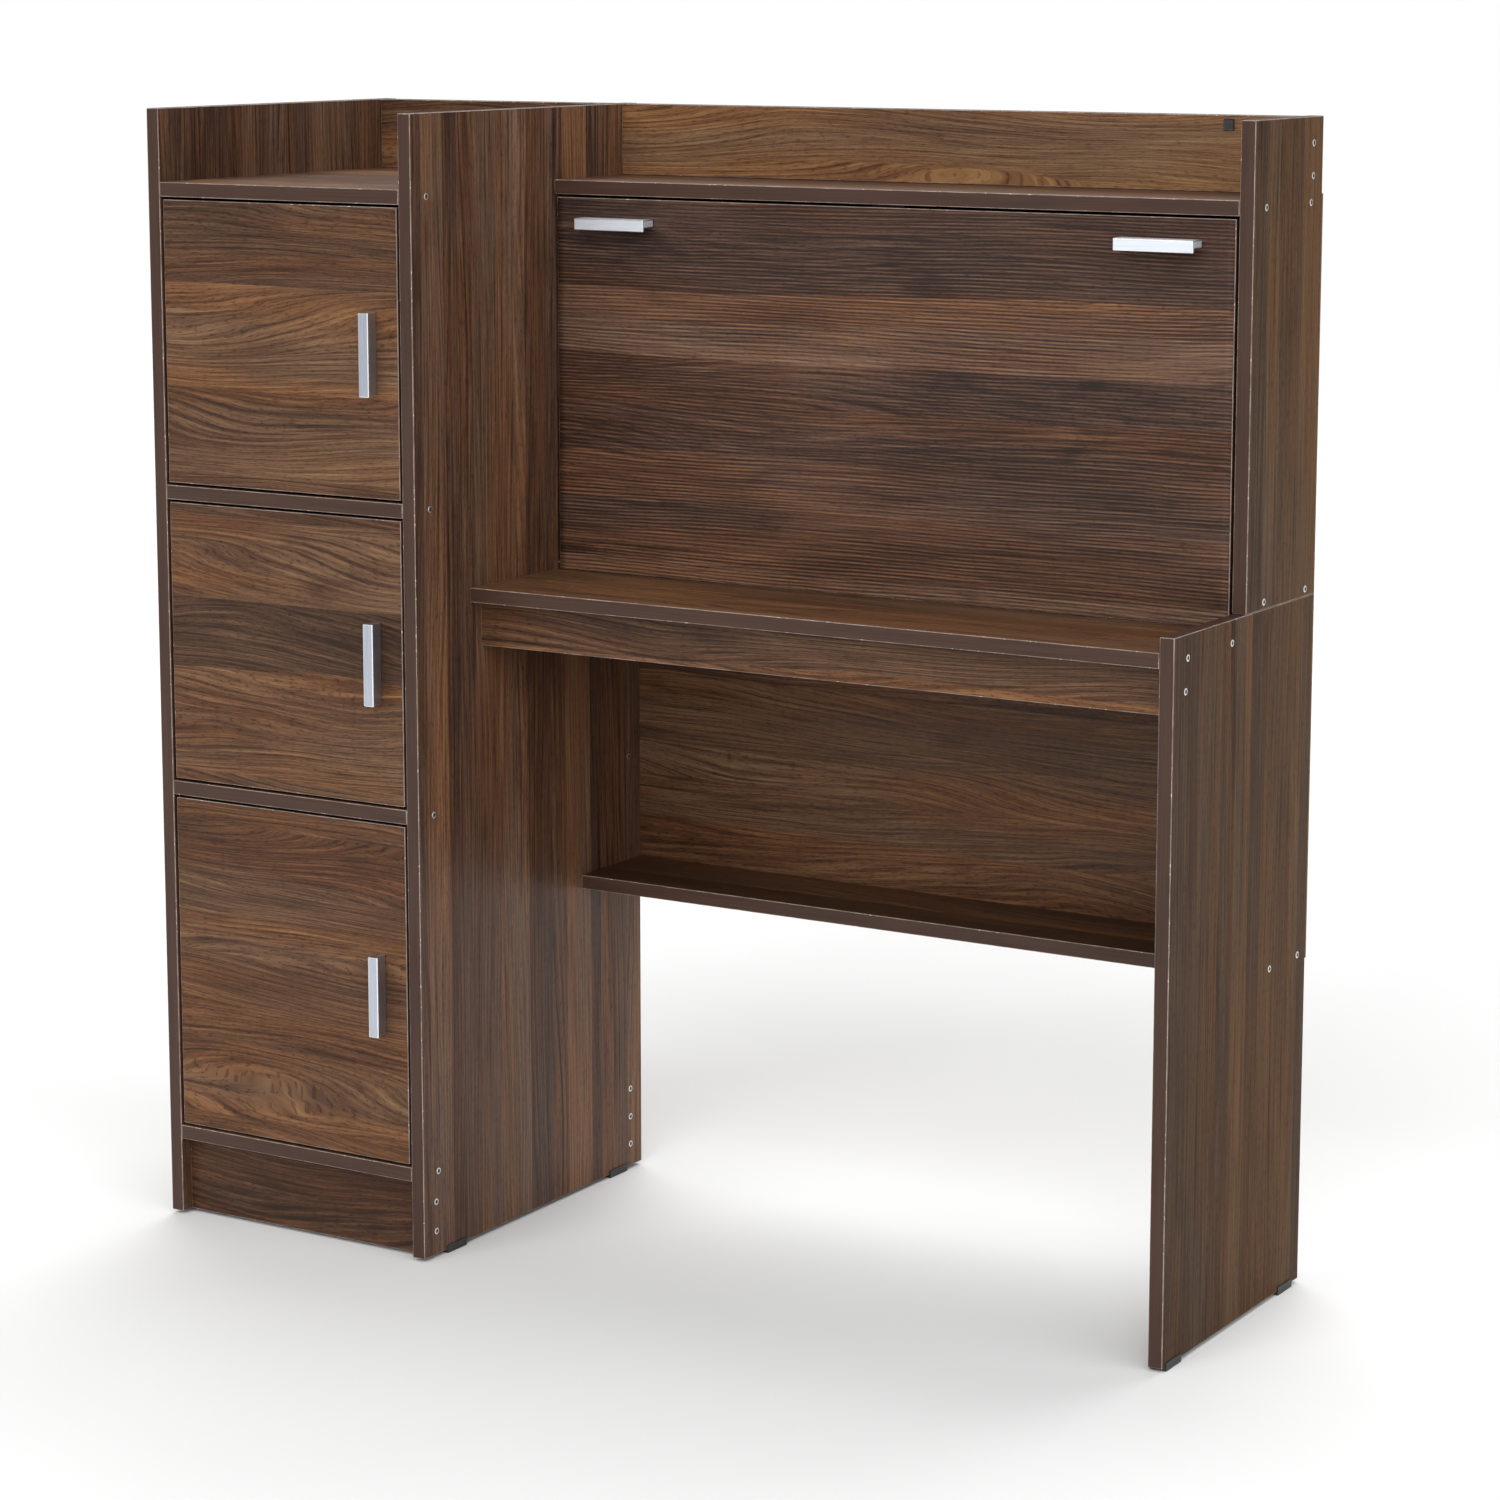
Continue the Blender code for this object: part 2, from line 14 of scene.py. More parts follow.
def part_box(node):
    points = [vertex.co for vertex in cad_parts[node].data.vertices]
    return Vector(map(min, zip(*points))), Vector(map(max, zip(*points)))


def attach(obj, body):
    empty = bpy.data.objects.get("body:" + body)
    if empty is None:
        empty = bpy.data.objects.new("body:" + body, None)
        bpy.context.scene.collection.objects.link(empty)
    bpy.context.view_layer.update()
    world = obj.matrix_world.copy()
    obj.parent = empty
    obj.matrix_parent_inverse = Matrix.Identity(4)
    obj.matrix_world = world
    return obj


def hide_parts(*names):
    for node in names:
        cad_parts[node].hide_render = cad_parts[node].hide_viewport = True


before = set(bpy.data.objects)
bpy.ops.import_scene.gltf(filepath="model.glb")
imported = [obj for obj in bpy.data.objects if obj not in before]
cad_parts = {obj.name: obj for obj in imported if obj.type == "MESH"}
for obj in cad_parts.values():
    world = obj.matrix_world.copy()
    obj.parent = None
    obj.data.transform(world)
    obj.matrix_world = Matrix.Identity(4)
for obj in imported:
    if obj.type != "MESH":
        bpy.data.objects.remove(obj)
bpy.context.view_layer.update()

MM = 0.001

# ---- Side panels ---------------------------------------------------------------------------
# Four upright boards carry everything else. Each is 16 mm chipboard with printed walnut paper
# pressed on both faces, grain upright, and a plastic band glued round its edges. The two that
# hold the flap have a blind hole for its pin.

ARRIS = 0.8 * MM  # rounding where the band is trimmed flush with the face
PAPER_REPEAT = 40.0  # how far apart on the printed roll two boards may be cut
PIN_HOLE_RADIUS = 2.6 * MM
PIN_HOLE_DEPTH = 7.3 * MM


def step(tree, kind, inputs, **settings):
    """Adds one shader node. inputs is {socket: a value, or another node's output}."""
    made = tree.nodes.new("ShaderNode" + kind)
    for key, value in settings.items():
        setattr(made, key, value)
    for socket, value in inputs.items():
        if isinstance(value, bpy.types.NodeSocket):
            tree.links.new(value, made.inputs[socket])
        else:
            made.inputs[socket].default_value = value
    return made


def sums(tree, operation, first, second=0.0):
    return step(tree, "Math", {0: first, 1: second}, operation=operation).outputs[0]


def scaled(tree, place, factors):
    return step(tree, "VectorMath", {0: place, 1: factors}, operation="MULTIPLY").outputs[0]


def grain_noise(tree, place, factors, detail, roughness=0.5):
    """Noise stretched by a factor along the grain, across it and through the board."""
    inputs = {"Vector": scaled(tree, place, factors), "Scale": 1.0}
    inputs |= {"Detail": detail, "Roughness": roughness}
    return step(tree, "TexNoise", inputs, noise_dimensions="2D").outputs["Fac"]


def ramp(tree, value, stops, smooth=True):
    """A colour ramp. stops is [(position, grey value or colour)]."""
    made = step(tree, "ValToRGB", {"Fac": value})
    made.color_ramp.interpolation = "EASE" if smooth else "LINEAR"
    elements = made.color_ramp.elements
    while len(elements) < len(stops):
        elements.new(0.5)
    for element, (position, colour) in zip(elements, stops):
        element.position = position
        shade = colour if isinstance(colour, tuple) else (colour, colour, colour)
        element.color = (*shade, 1.0)
    return made.outputs["Color"]


def finish_material(name, roughness, metallic=0.0, specular=0.5):
    """An empty finish: its node tree and its surface shader."""
    made = bpy.data.materials.new(name)
    made.use_nodes = True
    shader = made.node_tree.nodes["Principled BSDF"]
    shader.inputs["Roughness"].default_value = roughness
    shader.inputs["Metallic"].default_value = metallic
    shader.inputs["Specular IOR Level"].default_value = specular
    return made, made.node_tree, shader


def add_relief(tree, shader, height, strength, depth):
    bump = step(tree, "Bump", {"Height": height, "Strength": strength, "Distance": depth})
    tree.links.new(bump.outputs["Normal"], shader.inputs["Normal"])


def walnut_print(name, look):
    """Printed walnut paper under a clear melamine skin, drawn on the board's own "run" map.

    look holds the tones from dark to light, the width of the planks in the print, the gap between growth
    rings and how far they sway into arches, and the weight of each kind of mark, among them the painted
    shade laid in each pressed groove.
    """
    made, tree, shader = finish_material(name, look["roughness"], specular=look["sheen"])
    shader.inputs["IOR"].default_value = 1.3
    sheet = step(tree, "UVMap", {}, uv_map="run").outputs[0]
    axes = step(tree, "SeparateXYZ", {0: sheet})

    # Planks meet in crisp lines. Each has its own tone and its own run of grain.
    lazy = grain_noise(tree, sheet, (1.4, 4.0, 1.0), 1.0)
    waved = sums(tree, "ADD", axes.outputs["Y"], sums(tree, "MULTIPLY", lazy, look["plank_wave"]))
    uneven = grain_noise(tree, scaled(tree, sheet, (0.0, 1.0, 1.0)), (1.0, 11.0, 1.0), 1.0)
    count = sums(tree, "DIVIDE", waved, look["plank_width"])
    count = sums(tree, "ADD", count, sums(tree, "MULTIPLY", uneven, 2.4))
    plank = step(tree, "TexWhiteNoise", {"W": sums(tree, "FLOOR", count)}, noise_dimensions="1D")
    plank_tone = plank.outputs["Value"]
    along = sums(tree, "ADD", axes.outputs["X"], sums(tree, "MULTIPLY", plank_tone, 9.0))
    place = step(tree, "CombineXYZ", {"X": along, "Y": axes.outputs["Y"], "Z": 0.0}).outputs[0]

    # Growth rings: lines of equal height on a slow swell, so that they close into arches.
    swell = grain_noise(tree, place, (*look["arch"], 1.0), 1.5, 0.45)
    ripple = grain_noise(tree, place, (9.0, 34.0, 1.0), 2.0)
    height = sums(tree, "ADD", axes.outputs["Y"], sums(tree, "MULTIPLY", swell, look["sway"]))
    height = sums(tree, "ADD", height, sums(tree, "MULTIPLY", ripple, look["ripple"]))
    ring = sums(tree, "FRACT", sums(tree, "DIVIDE", height, look["ring_gap"]))
    ring = ramp(tree, ring, [(0.0, 0.6), (0.1, 0.0), (0.7, 0.0), (1.0, 1.0)])
    patches = grain_noise(tree, place, (2.2, 13.0, 1.0), 1.0)
    rings = sums(tree, "MULTIPLY", ring, ramp(tree, patches, [(0.38, 0.3), (0.62, 1.0)]))

    # Fibres, streaks, veins and pores run along the rings, so they are drawn on that height.
    flow = step(tree, "CombineXYZ", {"X": along, "Y": height, "Z": 0.0}).outputs[0]
    fibres = grain_noise(tree, flow, (9.0, 480.0, 1.0), 3.0, 0.72)
    fibres = ramp(tree, fibres, [(0.32, 0.0), (0.68, 1.0)], False)
    streaks = grain_noise(tree, flow, (3.0, 260.0, 1.0), 2.0, 0.6)
    streaks = ramp(tree, streaks, [(0.28, 0.0), (0.72, 1.0)], False)
    veins = grain_noise(tree, flow, (2.4, 150.0, 1.0), 2.5, 0.62)
    veins = ramp(tree, veins, [(0.60, 0.0), (0.72, 1.0)])
    pores = grain_noise(tree, flow, (95.0, 1100.0, 1.0), 1.5, 0.6)
    pores = ramp(tree, pores, [(0.58, 0.0), (0.66, 1.0)])
    clouds = grain_noise(tree, place, (2.2, 15.0, 1.0), 2.0)
    eyes = grain_noise(tree, flow, (6.0, 19.0, 1.0), 3.0, 0.6)
    eyes = ramp(tree, eyes, [(0.60, 0.0), (0.82, 1.0)])

    # Each board's shade attribute lifts or lowers its tone: painted shade on the foot shelf, painted light
    # on the hutch gallery.
    shade = step(tree, "Attribute", {}, attribute_name="shade").outputs["Fac"]
    tone = sums(tree, "ADD", shade, look["lift"])
    for part, weight in (
        (plank_tone, look["planks"]),
        (clouds, look["clouds"]),
        (streaks, look["streaks"]),
        (fibres, look["fibres"]),
    ):
        centred = sums(tree, "SUBTRACT", part, 0.5)
        tone = sums(tree, "ADD", tone, sums(tree, "MULTIPLY", centred, weight))
    for part, weight in (
        (rings, look["rings"]),
        (veins, look["veins"]),
        (eyes, look["eyes"]),
        (pores, look["pores"]),
    ):
        tone = sums(tree, "SUBTRACT", tone, sums(tree, "MULTIPLY", part, weight))
    # Painted shade: the tone darkens with the pressed sheet's groove depth, as shade lying in each groove.
    if look["groove_painted_shade"]:
        groove = step(tree, "Attribute", {}, attribute_name="groove").outputs["Fac"]
        tone = sums(tree, "SUBTRACT", tone, sums(tree, "MULTIPLY", groove, look["groove_painted_shade"]))
    dark, middle, light, pale = look["tones"]
    brown = ramp(tree, tone, [(0.12, dark), (0.42, middle), (0.66, light), (0.95, pale)], False)

    # The red of the wood comes and goes, from plank to plank and across each one.
    warmth = grain_noise(tree, place, (1.6, 16.0, 1.0), 2.0)
    warmth = sums(tree, "ADD", warmth, sums(tree, "MULTIPLY", plank.outputs["Color"], 0.3))
    warmth = ramp(tree, warmth, [(0.48, (0.92, 1.0, 1.08)), (0.82, (1.09, 0.985, 0.84))])
    tint = step(tree, "Mix", {0: 1.0, 6: brown, 7: warmth}, data_type="RGBA", blend_type="MULTIPLY")
    tree.links.new(tint.outputs[2], shader.inputs["Base Color"])

    rough = sums(tree, "MULTIPLY", fibres, 0.16)
    rough = sums(tree, "ADD", rough, look["roughness"] - 0.08)
    tree.links.new(rough, shader.inputs["Roughness"])
    skin = sums(tree, "SUBTRACT", fibres, sums(tree, "MULTIPLY", pores, 0.8))
    add_relief(tree, shader, skin, look["relief"], 0.2 * MM)
    return made


def band_material(name, colour, streak_colour, roughness):
    """Plain plastic edge band: one brown, with faint streaks along it from the extruder."""
    made, tree, shader = finish_material(name, roughness)
    shader.inputs["IOR"].default_value = 1.3
    place = step(tree, "UVMap", {}, uv_map="run").outputs[0]
    streaks = grain_noise(tree, place, (8.0, 900.0, 1.0), 2.0)
    clouds = grain_noise(tree, place, (6.0, 60.0, 1.0), 2.0)
    mixed = sums(tree, "ADD", sums(tree, "MULTIPLY", streaks, 0.6), sums(tree, "MULTIPLY", clouds, 0.4))
    tree.links.new(ramp(tree, mixed, [(0.3, colour), (0.7, streak_colour)]), shader.inputs["Base Color"])
    grit = grain_noise(tree, place, (900.0, 1400.0, 1.0), 2.0)
    rough = sums(tree, "ADD", sums(tree, "MULTIPLY", grit, 0.1), roughness - 0.05)
    tree.links.new(rough, shader.inputs["Roughness"])
    add_relief(tree, shader, streaks, 0.12, 0.15 * MM)
    return made


def arris_material(name, worn, chipped):
    """The trimmed corner of the band: scraped paler than the band, and paler still as a painted highlight
    along the corner, with small chips to the core.
    """
    made, tree, shader = finish_material(name, 0.35, specular=0.6)
    place = step(tree, "UVMap", {}, uv_map="run").outputs[0]
    scrape = grain_noise(tree, place, (45.0, 45.0, 1.0), 3.0, 0.6)
    chips = grain_noise(tree, place, (170.0, 170.0, 1.0), 2.0, 0.6)
    line = ramp(tree, scrape, [(0.35, worn[0]), (0.65, worn[1])])
    where = ramp(tree, chips, [(0.69, 0.0), (0.73, 1.0)])
    mixed = step(tree, "Mix", {0: where, 6: line, 7: (*chipped, 1.0)}, data_type="RGBA")
    tree.links.new(mixed.outputs[2], shader.inputs["Base Color"])
    add_relief(tree, shader, chips, 0.3, 0.3 * MM)
    return made


upright_walnut = walnut_print(
    "walnut_grain_upright",
    {
        "tones": (
            (0.021, 0.0105, 0.0068),
            (0.058, 0.029, 0.0185),
            (0.122, 0.062, 0.036),
            (0.20, 0.115, 0.066),
        ),
        "lift": 0.60,
        "plank_width": 0.034,
        "plank_wave": 0.0,
        "planks": 0.30,
        "arch": (0.9, 8.0),
        "sway": 0.075,
        "ripple": 0.0018,
        "ring_gap": 0.0075,
        "rings": 0.2,
        "clouds": 0.2,
        "streaks": 0.20,
        "fibres": 0.32,
        "veins": 0.18,
        "pores": 0.16,
        "eyes": 0.12,
        "groove_painted_shade": 0.0,
        "roughness": 0.40,
        "sheen": 0.4,
        "relief": 0.14,
    },
)
quiet_upright_walnut = walnut_print(
    "walnut_grain_upright_quiet",
    {
        "tones": (
            (0.023, 0.0126, 0.0080),
            (0.055, 0.0306, 0.0184),
            (0.093, 0.0540, 0.0310),
            (0.145, 0.091, 0.054),
        ),
        "lift": 0.60,
        "plank_width": 0.045,
        "plank_wave": 0.0,
        "planks": 0.22,
        "arch": (0.8, 6.0),
        "sway": 0.05,
        "ripple": 0.0018,
        "ring_gap": 0.0085,
        "rings": 0.12,
        "clouds": 0.2,
        "streaks": 0.2,
        "fibres": 0.26,
        "veins": 0.2,
        "pores": 0.16,
        "eyes": 0.1,
        "groove_painted_shade": 0.0,
        "roughness": 0.44,
        "sheen": 0.05,
        "relief": 0.14,
    },
)
brown_band = band_material("brown_edge_band", (0.040, 0.0205, 0.0142), (0.056, 0.030, 0.021), 0.4)
# Its pale line is partly scraped band and partly painted highlight along the corner.
scraped_arris_painted_highlight = arris_material(
    "scraped_arris_painted_highlight", ((0.14, 0.095, 0.075), (0.27, 0.21, 0.18)), (0.62, 0.56, 0.48)
)


def new_piece(name, shape, finishes):
    """Turns a bmesh into an object with these finishes."""
    mesh = bpy.data.meshes.new(name)
    shape.to_mesh(mesh)
    shape.free()
    for finish in finishes:
        mesh.materials.append(finish)
    made = bpy.data.objects.new(name, mesh)
    bpy.context.scene.collection.objects.link(made)
    return made


def add_block(shape, low, high):
    size = Vector(high) - Vector(low)
    middle = (Vector(high) + Vector(low)) / 2
    place = Matrix.Translation(middle) @ Matrix.Diagonal((*size, 1.0))
    bmesh.ops.create_cube(shape, size=1.0, matrix=place)


def block(low, high):
    shape = bmesh.new()
    add_block(shape, low, high)
    return shape


def lay_paper(shape, face_axis, grain_axis, cut, shade=0.0):
    """Maps each face of a board to its place on the printed roll, in metres along and across.

    shade says how much paler (or darker, if negative) than the rest this board's paper is drawn. On the foot
    shelf this darkening is painted shade, and on the hutch gallery the paling is painted light.
    """
    paper = shape.loops.layers.uv.new("run")
    shades = shape.verts.layers.float.new("shade")
    for corner in shape.verts:
        corner[shades] = shade
    roll = random.Random(cut)
    for face in shape.faces:
        normal_axis = max(range(3), key=lambda axis: abs(face.normal[axis]))
        flat = [axis for axis in range(3) if axis != normal_axis]
        if grain_axis in flat:
            run = grain_axis
        else:
            run = max(flat, key=lambda axis: axis != face_axis)
        width = flat[0] if flat[1] == run else flat[1]
        start = (roll.uniform(0, PAPER_REPEAT), roll.uniform(0, PAPER_REPEAT))
        face.material_index = 0 if normal_axis == face_axis else 1
        for loop in face.loops:
            loop[paper].uv = (loop.vert.co[run] + start[0], loop.vert.co[width] + start[1])


def round_edges(piece, width, segments=2, finish_index=-1):
    bevel = piece.modifiers.new("rounded_edges", "BEVEL")
    bevel.width = width
    bevel.segments = segments
    bevel.limit_method = "ANGLE"
    bevel.harden_normals = True
    bevel.material = finish_index


def settle(piece):
    """Makes what the modifiers give the piece's own mesh."""
    graph = bpy.context.evaluated_depsgraph_get()
    made = bpy.data.meshes.new_from_object(piece.evaluated_get(graph), depsgraph=graph)
    piece.modifiers.clear()
    piece.data = made


def make_board(name, node, grain_axis, cut, face_finish, body="carcass", shade=0.0):
    """A faced and banded board that stands for a CAD board, its grain along axis 0, 1 or 2."""
    low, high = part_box(node)
    size = high - low
    shape = block(low, high)
    lay_paper(shape, min(range(3), key=lambda axis: size[axis]), grain_axis, cut, shade)
    made = new_piece(name, shape, (face_finish, brown_band, scraped_arris_painted_highlight))
    round_edges(made, ARRIS, finish_index=2)
    settle(made)
    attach(made, body)
    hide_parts(node)
    return made


def drill(piece, radius, depth, mouth, direction, sides=32):
    """Cuts a blind round hole from mouth in the given direction."""
    shape = bmesh.new()
    turn = Vector(direction).to_track_quat("Z", "Y").to_matrix().to_4x4()
    middle = Matrix.Translation(Vector(mouth)) @ turn
    bmesh.ops.create_cone(
        shape, cap_ends=True, segments=sides, radius1=radius, radius2=radius, depth=2 * depth, matrix=middle
    )
    bit = new_piece("drill_bit", shape, ())
    cut = piece.modifiers.new("hole", "BOOLEAN")
    cut.operation = "DIFFERENCE"
    cut.solver = "EXACT"
    cut.object = bit
    settle(piece)
    bpy.data.objects.remove(bit, do_unlink=True)


left_side = make_board("left_side_board", "left_side_panel", 2, 11, upright_walnut)
middle_side = make_board("middle_side_board", "middle_side_panel", 2, 23, upright_walnut)
right_lower_side = make_board("right_lower_board", "right_lower_panel", 2, 31, quiet_upright_walnut)
right_upper_side = make_board("right_upper_board", "right_upper_panel", 2, 45, quiet_upright_walnut)

for board, pin, outwards in (
    (middle_side, "flap_left_pin", -1),
    (right_lower_side, "flap_right_pin", 1),
):
    pin_low, pin_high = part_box(pin)
    pin_middle = (pin_low + pin_high) / 2
    board_low, board_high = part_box("middle_side_panel" if outwards < 0 else "right_lower_panel")
    face_x = board_high.x if outwards < 0 else board_low.x
    mouth = (face_x, pin_middle.y, pin_middle.z)
    drill(board, PIN_HOLE_RADIUS, PIN_HOLE_DEPTH, mouth, (outwards, 0, 0), 24)

# ---- Glides --------------------------------------------------------------------------------
# Six black moulded plastic channels, two under each side panel. Each is pushed up over the
# panel's lower edge, so that the band never touches the floor.

GLIDE_WALL = 1.2 * MM
GLIDE_SOLE = 3.7 * MM
GLIDE_ROUNDING = 0.5 * MM


def extrusion(outline, start, end, place):
    """A bar of this section, from start to end. place turns (across, up, along) into the desk's frame."""
    shape = bmesh.new()
    run = shape.loops.layers.uv.new("run")
    ends = [[shape.verts.new(place(a, b, t)) for a, b in outline] for t in (start, end)]
    shape.faces.new(ends[0])
    shape.faces.new(ends[1][::-1])
    girth = 0.0
    for index, first in enumerate(outline):
        after = (index + 1) % len(outline)
        width = math.dist(first, outline[after])
        corners = (ends[0][index], ends[1][index], ends[1][after], ends[0][after])
        face = shape.faces.new(corners)
        places = ((start, girth), (end, girth), (end, girth + width), (start, girth + width))
        for loop, uv in zip(face.loops, places):
            loop[run].uv = uv
        girth += width
    bmesh.ops.recalc_face_normals(shape, faces=shape.faces)
    return shape


def moulded_plastic(name, dark, light, roughness, grit):
    """Plastic from a spark-worn mould: nearly one colour, finely grained."""
    made, tree, shader = finish_material(name, roughness)
    place = step(tree, "TexCoord", {}).outputs["Object"]
    clouds = step(tree, "TexNoise", {"Vector": place, "Scale": 40.0, "Detail": 3.0}).outputs["Fac"]
    tree.links.new(ramp(tree, clouds, [(0.3, dark), (0.7, light)]), shader.inputs["Base Color"])
    grain = step(tree, "TexNoise", {"Vector": place, "Scale": 1600.0, "Detail": 2.0}).outputs["Fac"]
    add_relief(tree, shader, grain, grit, 0.1 * MM)
    return made


black_plastic = moulded_plastic(
    "black_moulded_plastic", (0.008, 0.008, 0.009), (0.017, 0.017, 0.018), 0.45, 0.35
)

for side in ("left", "middle", "right"):
    for end in ("front", "rear"):
        low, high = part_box(f"{side}_{end}_glide")
        inner = (low.x + GLIDE_WALL, high.x - GLIDE_WALL)
        section = [
            (low.x, low.z),
            (high.x, low.z),
            (high.x, high.z),
            (inner[1], high.z),
            (inner[1], low.z + GLIDE_SOLE),
            (inner[0], low.z + GLIDE_SOLE),
            (inner[0], high.z),
            (low.x, high.z),
        ]
        shape = extrusion(section, low.y, high.y, lambda a, b, t: (a, t, b))
        glide = new_piece(f"{side}_{end}_channel", shape, (black_plastic,))
        round_edges(glide, GLIDE_ROUNDING)
        settle(glide)
        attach(glide, "carcass")
        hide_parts(f"{side}_{end}_glide")

# ---- Tower shelves, plinths and gallery ----------------------------------------------------
# Four boards lie between the two tall panels and part the tower into three cupboards. Two
# plinths close it below and a low gallery board stands at the back of the top. All are faced
# with the same walnut as the panels, grain running across, and banded in brown.

figured_walnut = walnut_print(
    "walnut_grain_across",
    {
        "tones": (
            (0.026, 0.0118, 0.0062),
            (0.080, 0.0365, 0.0182),
            (0.155, 0.077, 0.037),
            (0.25, 0.150, 0.070),
        ),
        "lift": 0.53,
        "plank_width": 0.085,
        "plank_wave": 0.03,
        "planks": 0.28,
        "arch": (1.3, 7.5),
        "sway": 0.12,
        "ripple": 0.0025,
        "ring_gap": 0.0065,
        "rings": 0.20,
        "clouds": 0.34,
        "streaks": 0.20,
        "fibres": 0.32,
        "veins": 0.07,
        "pores": 0.18,
        "eyes": 0.14,
        "groove_painted_shade": 0.0,
        "roughness": 0.42,
        "sheen": 0.4,
        "relief": 0.12,
    },
)

for name, node, cut, shade in (
    ("tower_top_board", "tower_top_shelf", 3, 0.0),
    ("tower_upper_board", "tower_upper_shelf", 5, 0.0),
    ("tower_lower_board", "tower_lower_shelf", 6, 0.0),
    ("tower_bottom_board", "tower_bottom_shelf", 7, 0.0),
    ("front_plinth_board", "front_plinth", 8, -0.18),
    ("rear_plinth_board", "rear_plinth", 9, -0.18),
    ("tower_gallery_board", "tower_gallery", 10, 0.0),
):
    make_board(name, node, 0, cut, figured_walnut, shade=shade)

# ---- Desk boards ---------------------------------------------------------------------------
# The desktop rests on a front rail between the middle panel and the lower right panel. A narrow
# foot shelf joins the two panels near the back, below the modesty panel. All three are faced and
# banded like the tower's boards, and screwed through the panels into their ends.

for name, node, cut, shade in (
    ("desktop_board", "desktop", 14, 0.0),
    ("front_rail_board", "desk_front_rail", 15, 0.0),
    # Painted shade: the foot shelf is drawn darker for the shadow it lies in under the desktop.
    ("foot_shelf_board", "foot_shelf", 16, -0.22),
):
    make_board(name, node, 0, cut, figured_walnut, shade=shade)

# ---- Hutch boards --------------------------------------------------------------------------
# Above the desktop a shelf and a floor close the hutch, and a gallery board stands on the shelf.
# They are faced, banded and screwed like the tower's boards. A small square plastic cap covers a
# hole near the gallery's top corner.

for name, node, cut, shade in (
    ("hutch_shelf_board", "hutch_top_shelf", 17, 0.0),
    ("hutch_floor_board", "hutch_floor", 18, 0.0),
    # Painted light: the hutch gallery is drawn paler to undo the shade it gets standing back between the
    # panels.
    ("hutch_gallery_board", "hutch_gallery", 19, 0.06),
):
    make_board(name, node, 0, cut, figured_walnut, shade=shade)

CAP_RIM = 1.8 * MM
CAP_DISH = 0.5 * MM
CAP_ROUNDING = 0.35 * MM

cap_low, cap_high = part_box("square_cover_cap")
shape = block(cap_low, cap_high)
front = min(shape.faces, key=lambda face: face.calc_center_median().y)
bmesh.ops.inset_individual(shape, faces=[front], thickness=CAP_RIM, depth=0.0)
bmesh.ops.translate(shape, verts=front.verts, vec=(0, CAP_DISH, 0))
cap = new_piece("gallery_cap", shape, (black_plastic,))
round_edges(cap, CAP_ROUNDING)
settle(cap)
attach(cap, "carcass")
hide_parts("square_cover_cap")

# ---- Back boards ---------------------------------------------------------------------------
# Three thin hardboard sheets close the back: behind the tower, behind the hutch and below it as
# a modesty panel. Their front is printed, their rear is bare brown fibre with the mark of the
# press mesh, and they are nailed into the edges of the boards.

NAIL_RISE = 0.3 * MM  # how far the nail heads stand out
NAIL_RADIUS = 2.2 * MM
NAIL_SPACING = 0.12
NAIL_FROM_END = 0.02
NAIL_FROM_TOP = 6 * MM  # at least, from the sheet's top and foot
NAIL_FROM_SIDE = 4 * MM  # at least, from the sheet's upright edges
SHEET_ROUNDING = 0.3 * MM


def bare_hardboard(name):
    made, tree, shader = finish_material(name, 0.8, specular=0.25)
    place = step(tree, "TexCoord", {}).outputs["Object"]
    clouds = step(tree, "TexNoise", {"Vector": place, "Scale": 9.0, "Detail": 6.0}).outputs["Fac"]
    fibre = step(tree, "TexNoise", {"Vector": place, "Scale": 420.0, "Detail": 4.0}).outputs["Fac"]
    mixed = sums(tree, "ADD", sums(tree, "MULTIPLY", clouds, 0.2), sums(tree, "MULTIPLY", fibre, 0.8))
    brown = ramp(tree, mixed, [(0.34, (0.11, 0.062, 0.035)), (0.66, (0.22, 0.135, 0.08))])
    tree.links.new(brown, shader.inputs["Base Color"])
    weave = {"Vector": place, "Scale": 260.0}
    threads = step(tree, "TexWave", weave, bands_direction="X").outputs["Fac"]
    crossing = step(tree, "TexWave", weave, bands_direction="Z").outputs["Fac"]
    press = sums(tree, "MULTIPLY", threads, crossing)
    add_relief(tree, shader, sums(tree, "ADD", press, fibre), 0.5, 0.2 * MM)
    return made


def add_ring(shape, place, radius_at, up, sides):
    """Adds a ring of corners round the place's Z axis. radius_at gives the radius at an angle."""
    angles = [2 * math.pi * side / sides for side in range(sides)]
    spots = [Vector((radius_at(a) * math.cos(a), radius_at(a) * math.sin(a), up)) for a in angles]
    return [shape.verts.new(place @ spot) for spot in spots]


def domed_head(shape, place, radius, rise, sides=16, finish_index=0):
    """Adds a low round head, its flat side on the surface and its dome along the place's +Z."""
    rings = []
    for share, up in ((1.0, 0.0), (1.0, 0.35), (0.8, 0.8)):
        rings.append(add_ring(shape, place, lambda angle: radius * share, rise * up, sides))
    tip = shape.verts.new(place @ Vector((0, 0, rise)))
    made = [shape.faces.new(rings[0][::-1])]
    for side in range(sides):
        after = (side + 1) % sides
        for lower, upper in zip(rings, rings[1:]):
            made.append(shape.faces.new((lower[side], lower[after], upper[after], upper[side])))
        made.append(shape.faces.new((rings[-1][side], rings[-1][after], tip)))
    for face in made:
        face.material_index = finish_index


def facing(point, direction):
    """A place at point whose +Z looks in direction."""
    return Matrix.Translation(Vector(point)) @ Vector(direction).to_track_quat("Z", "Y").to_matrix().to_4x4()


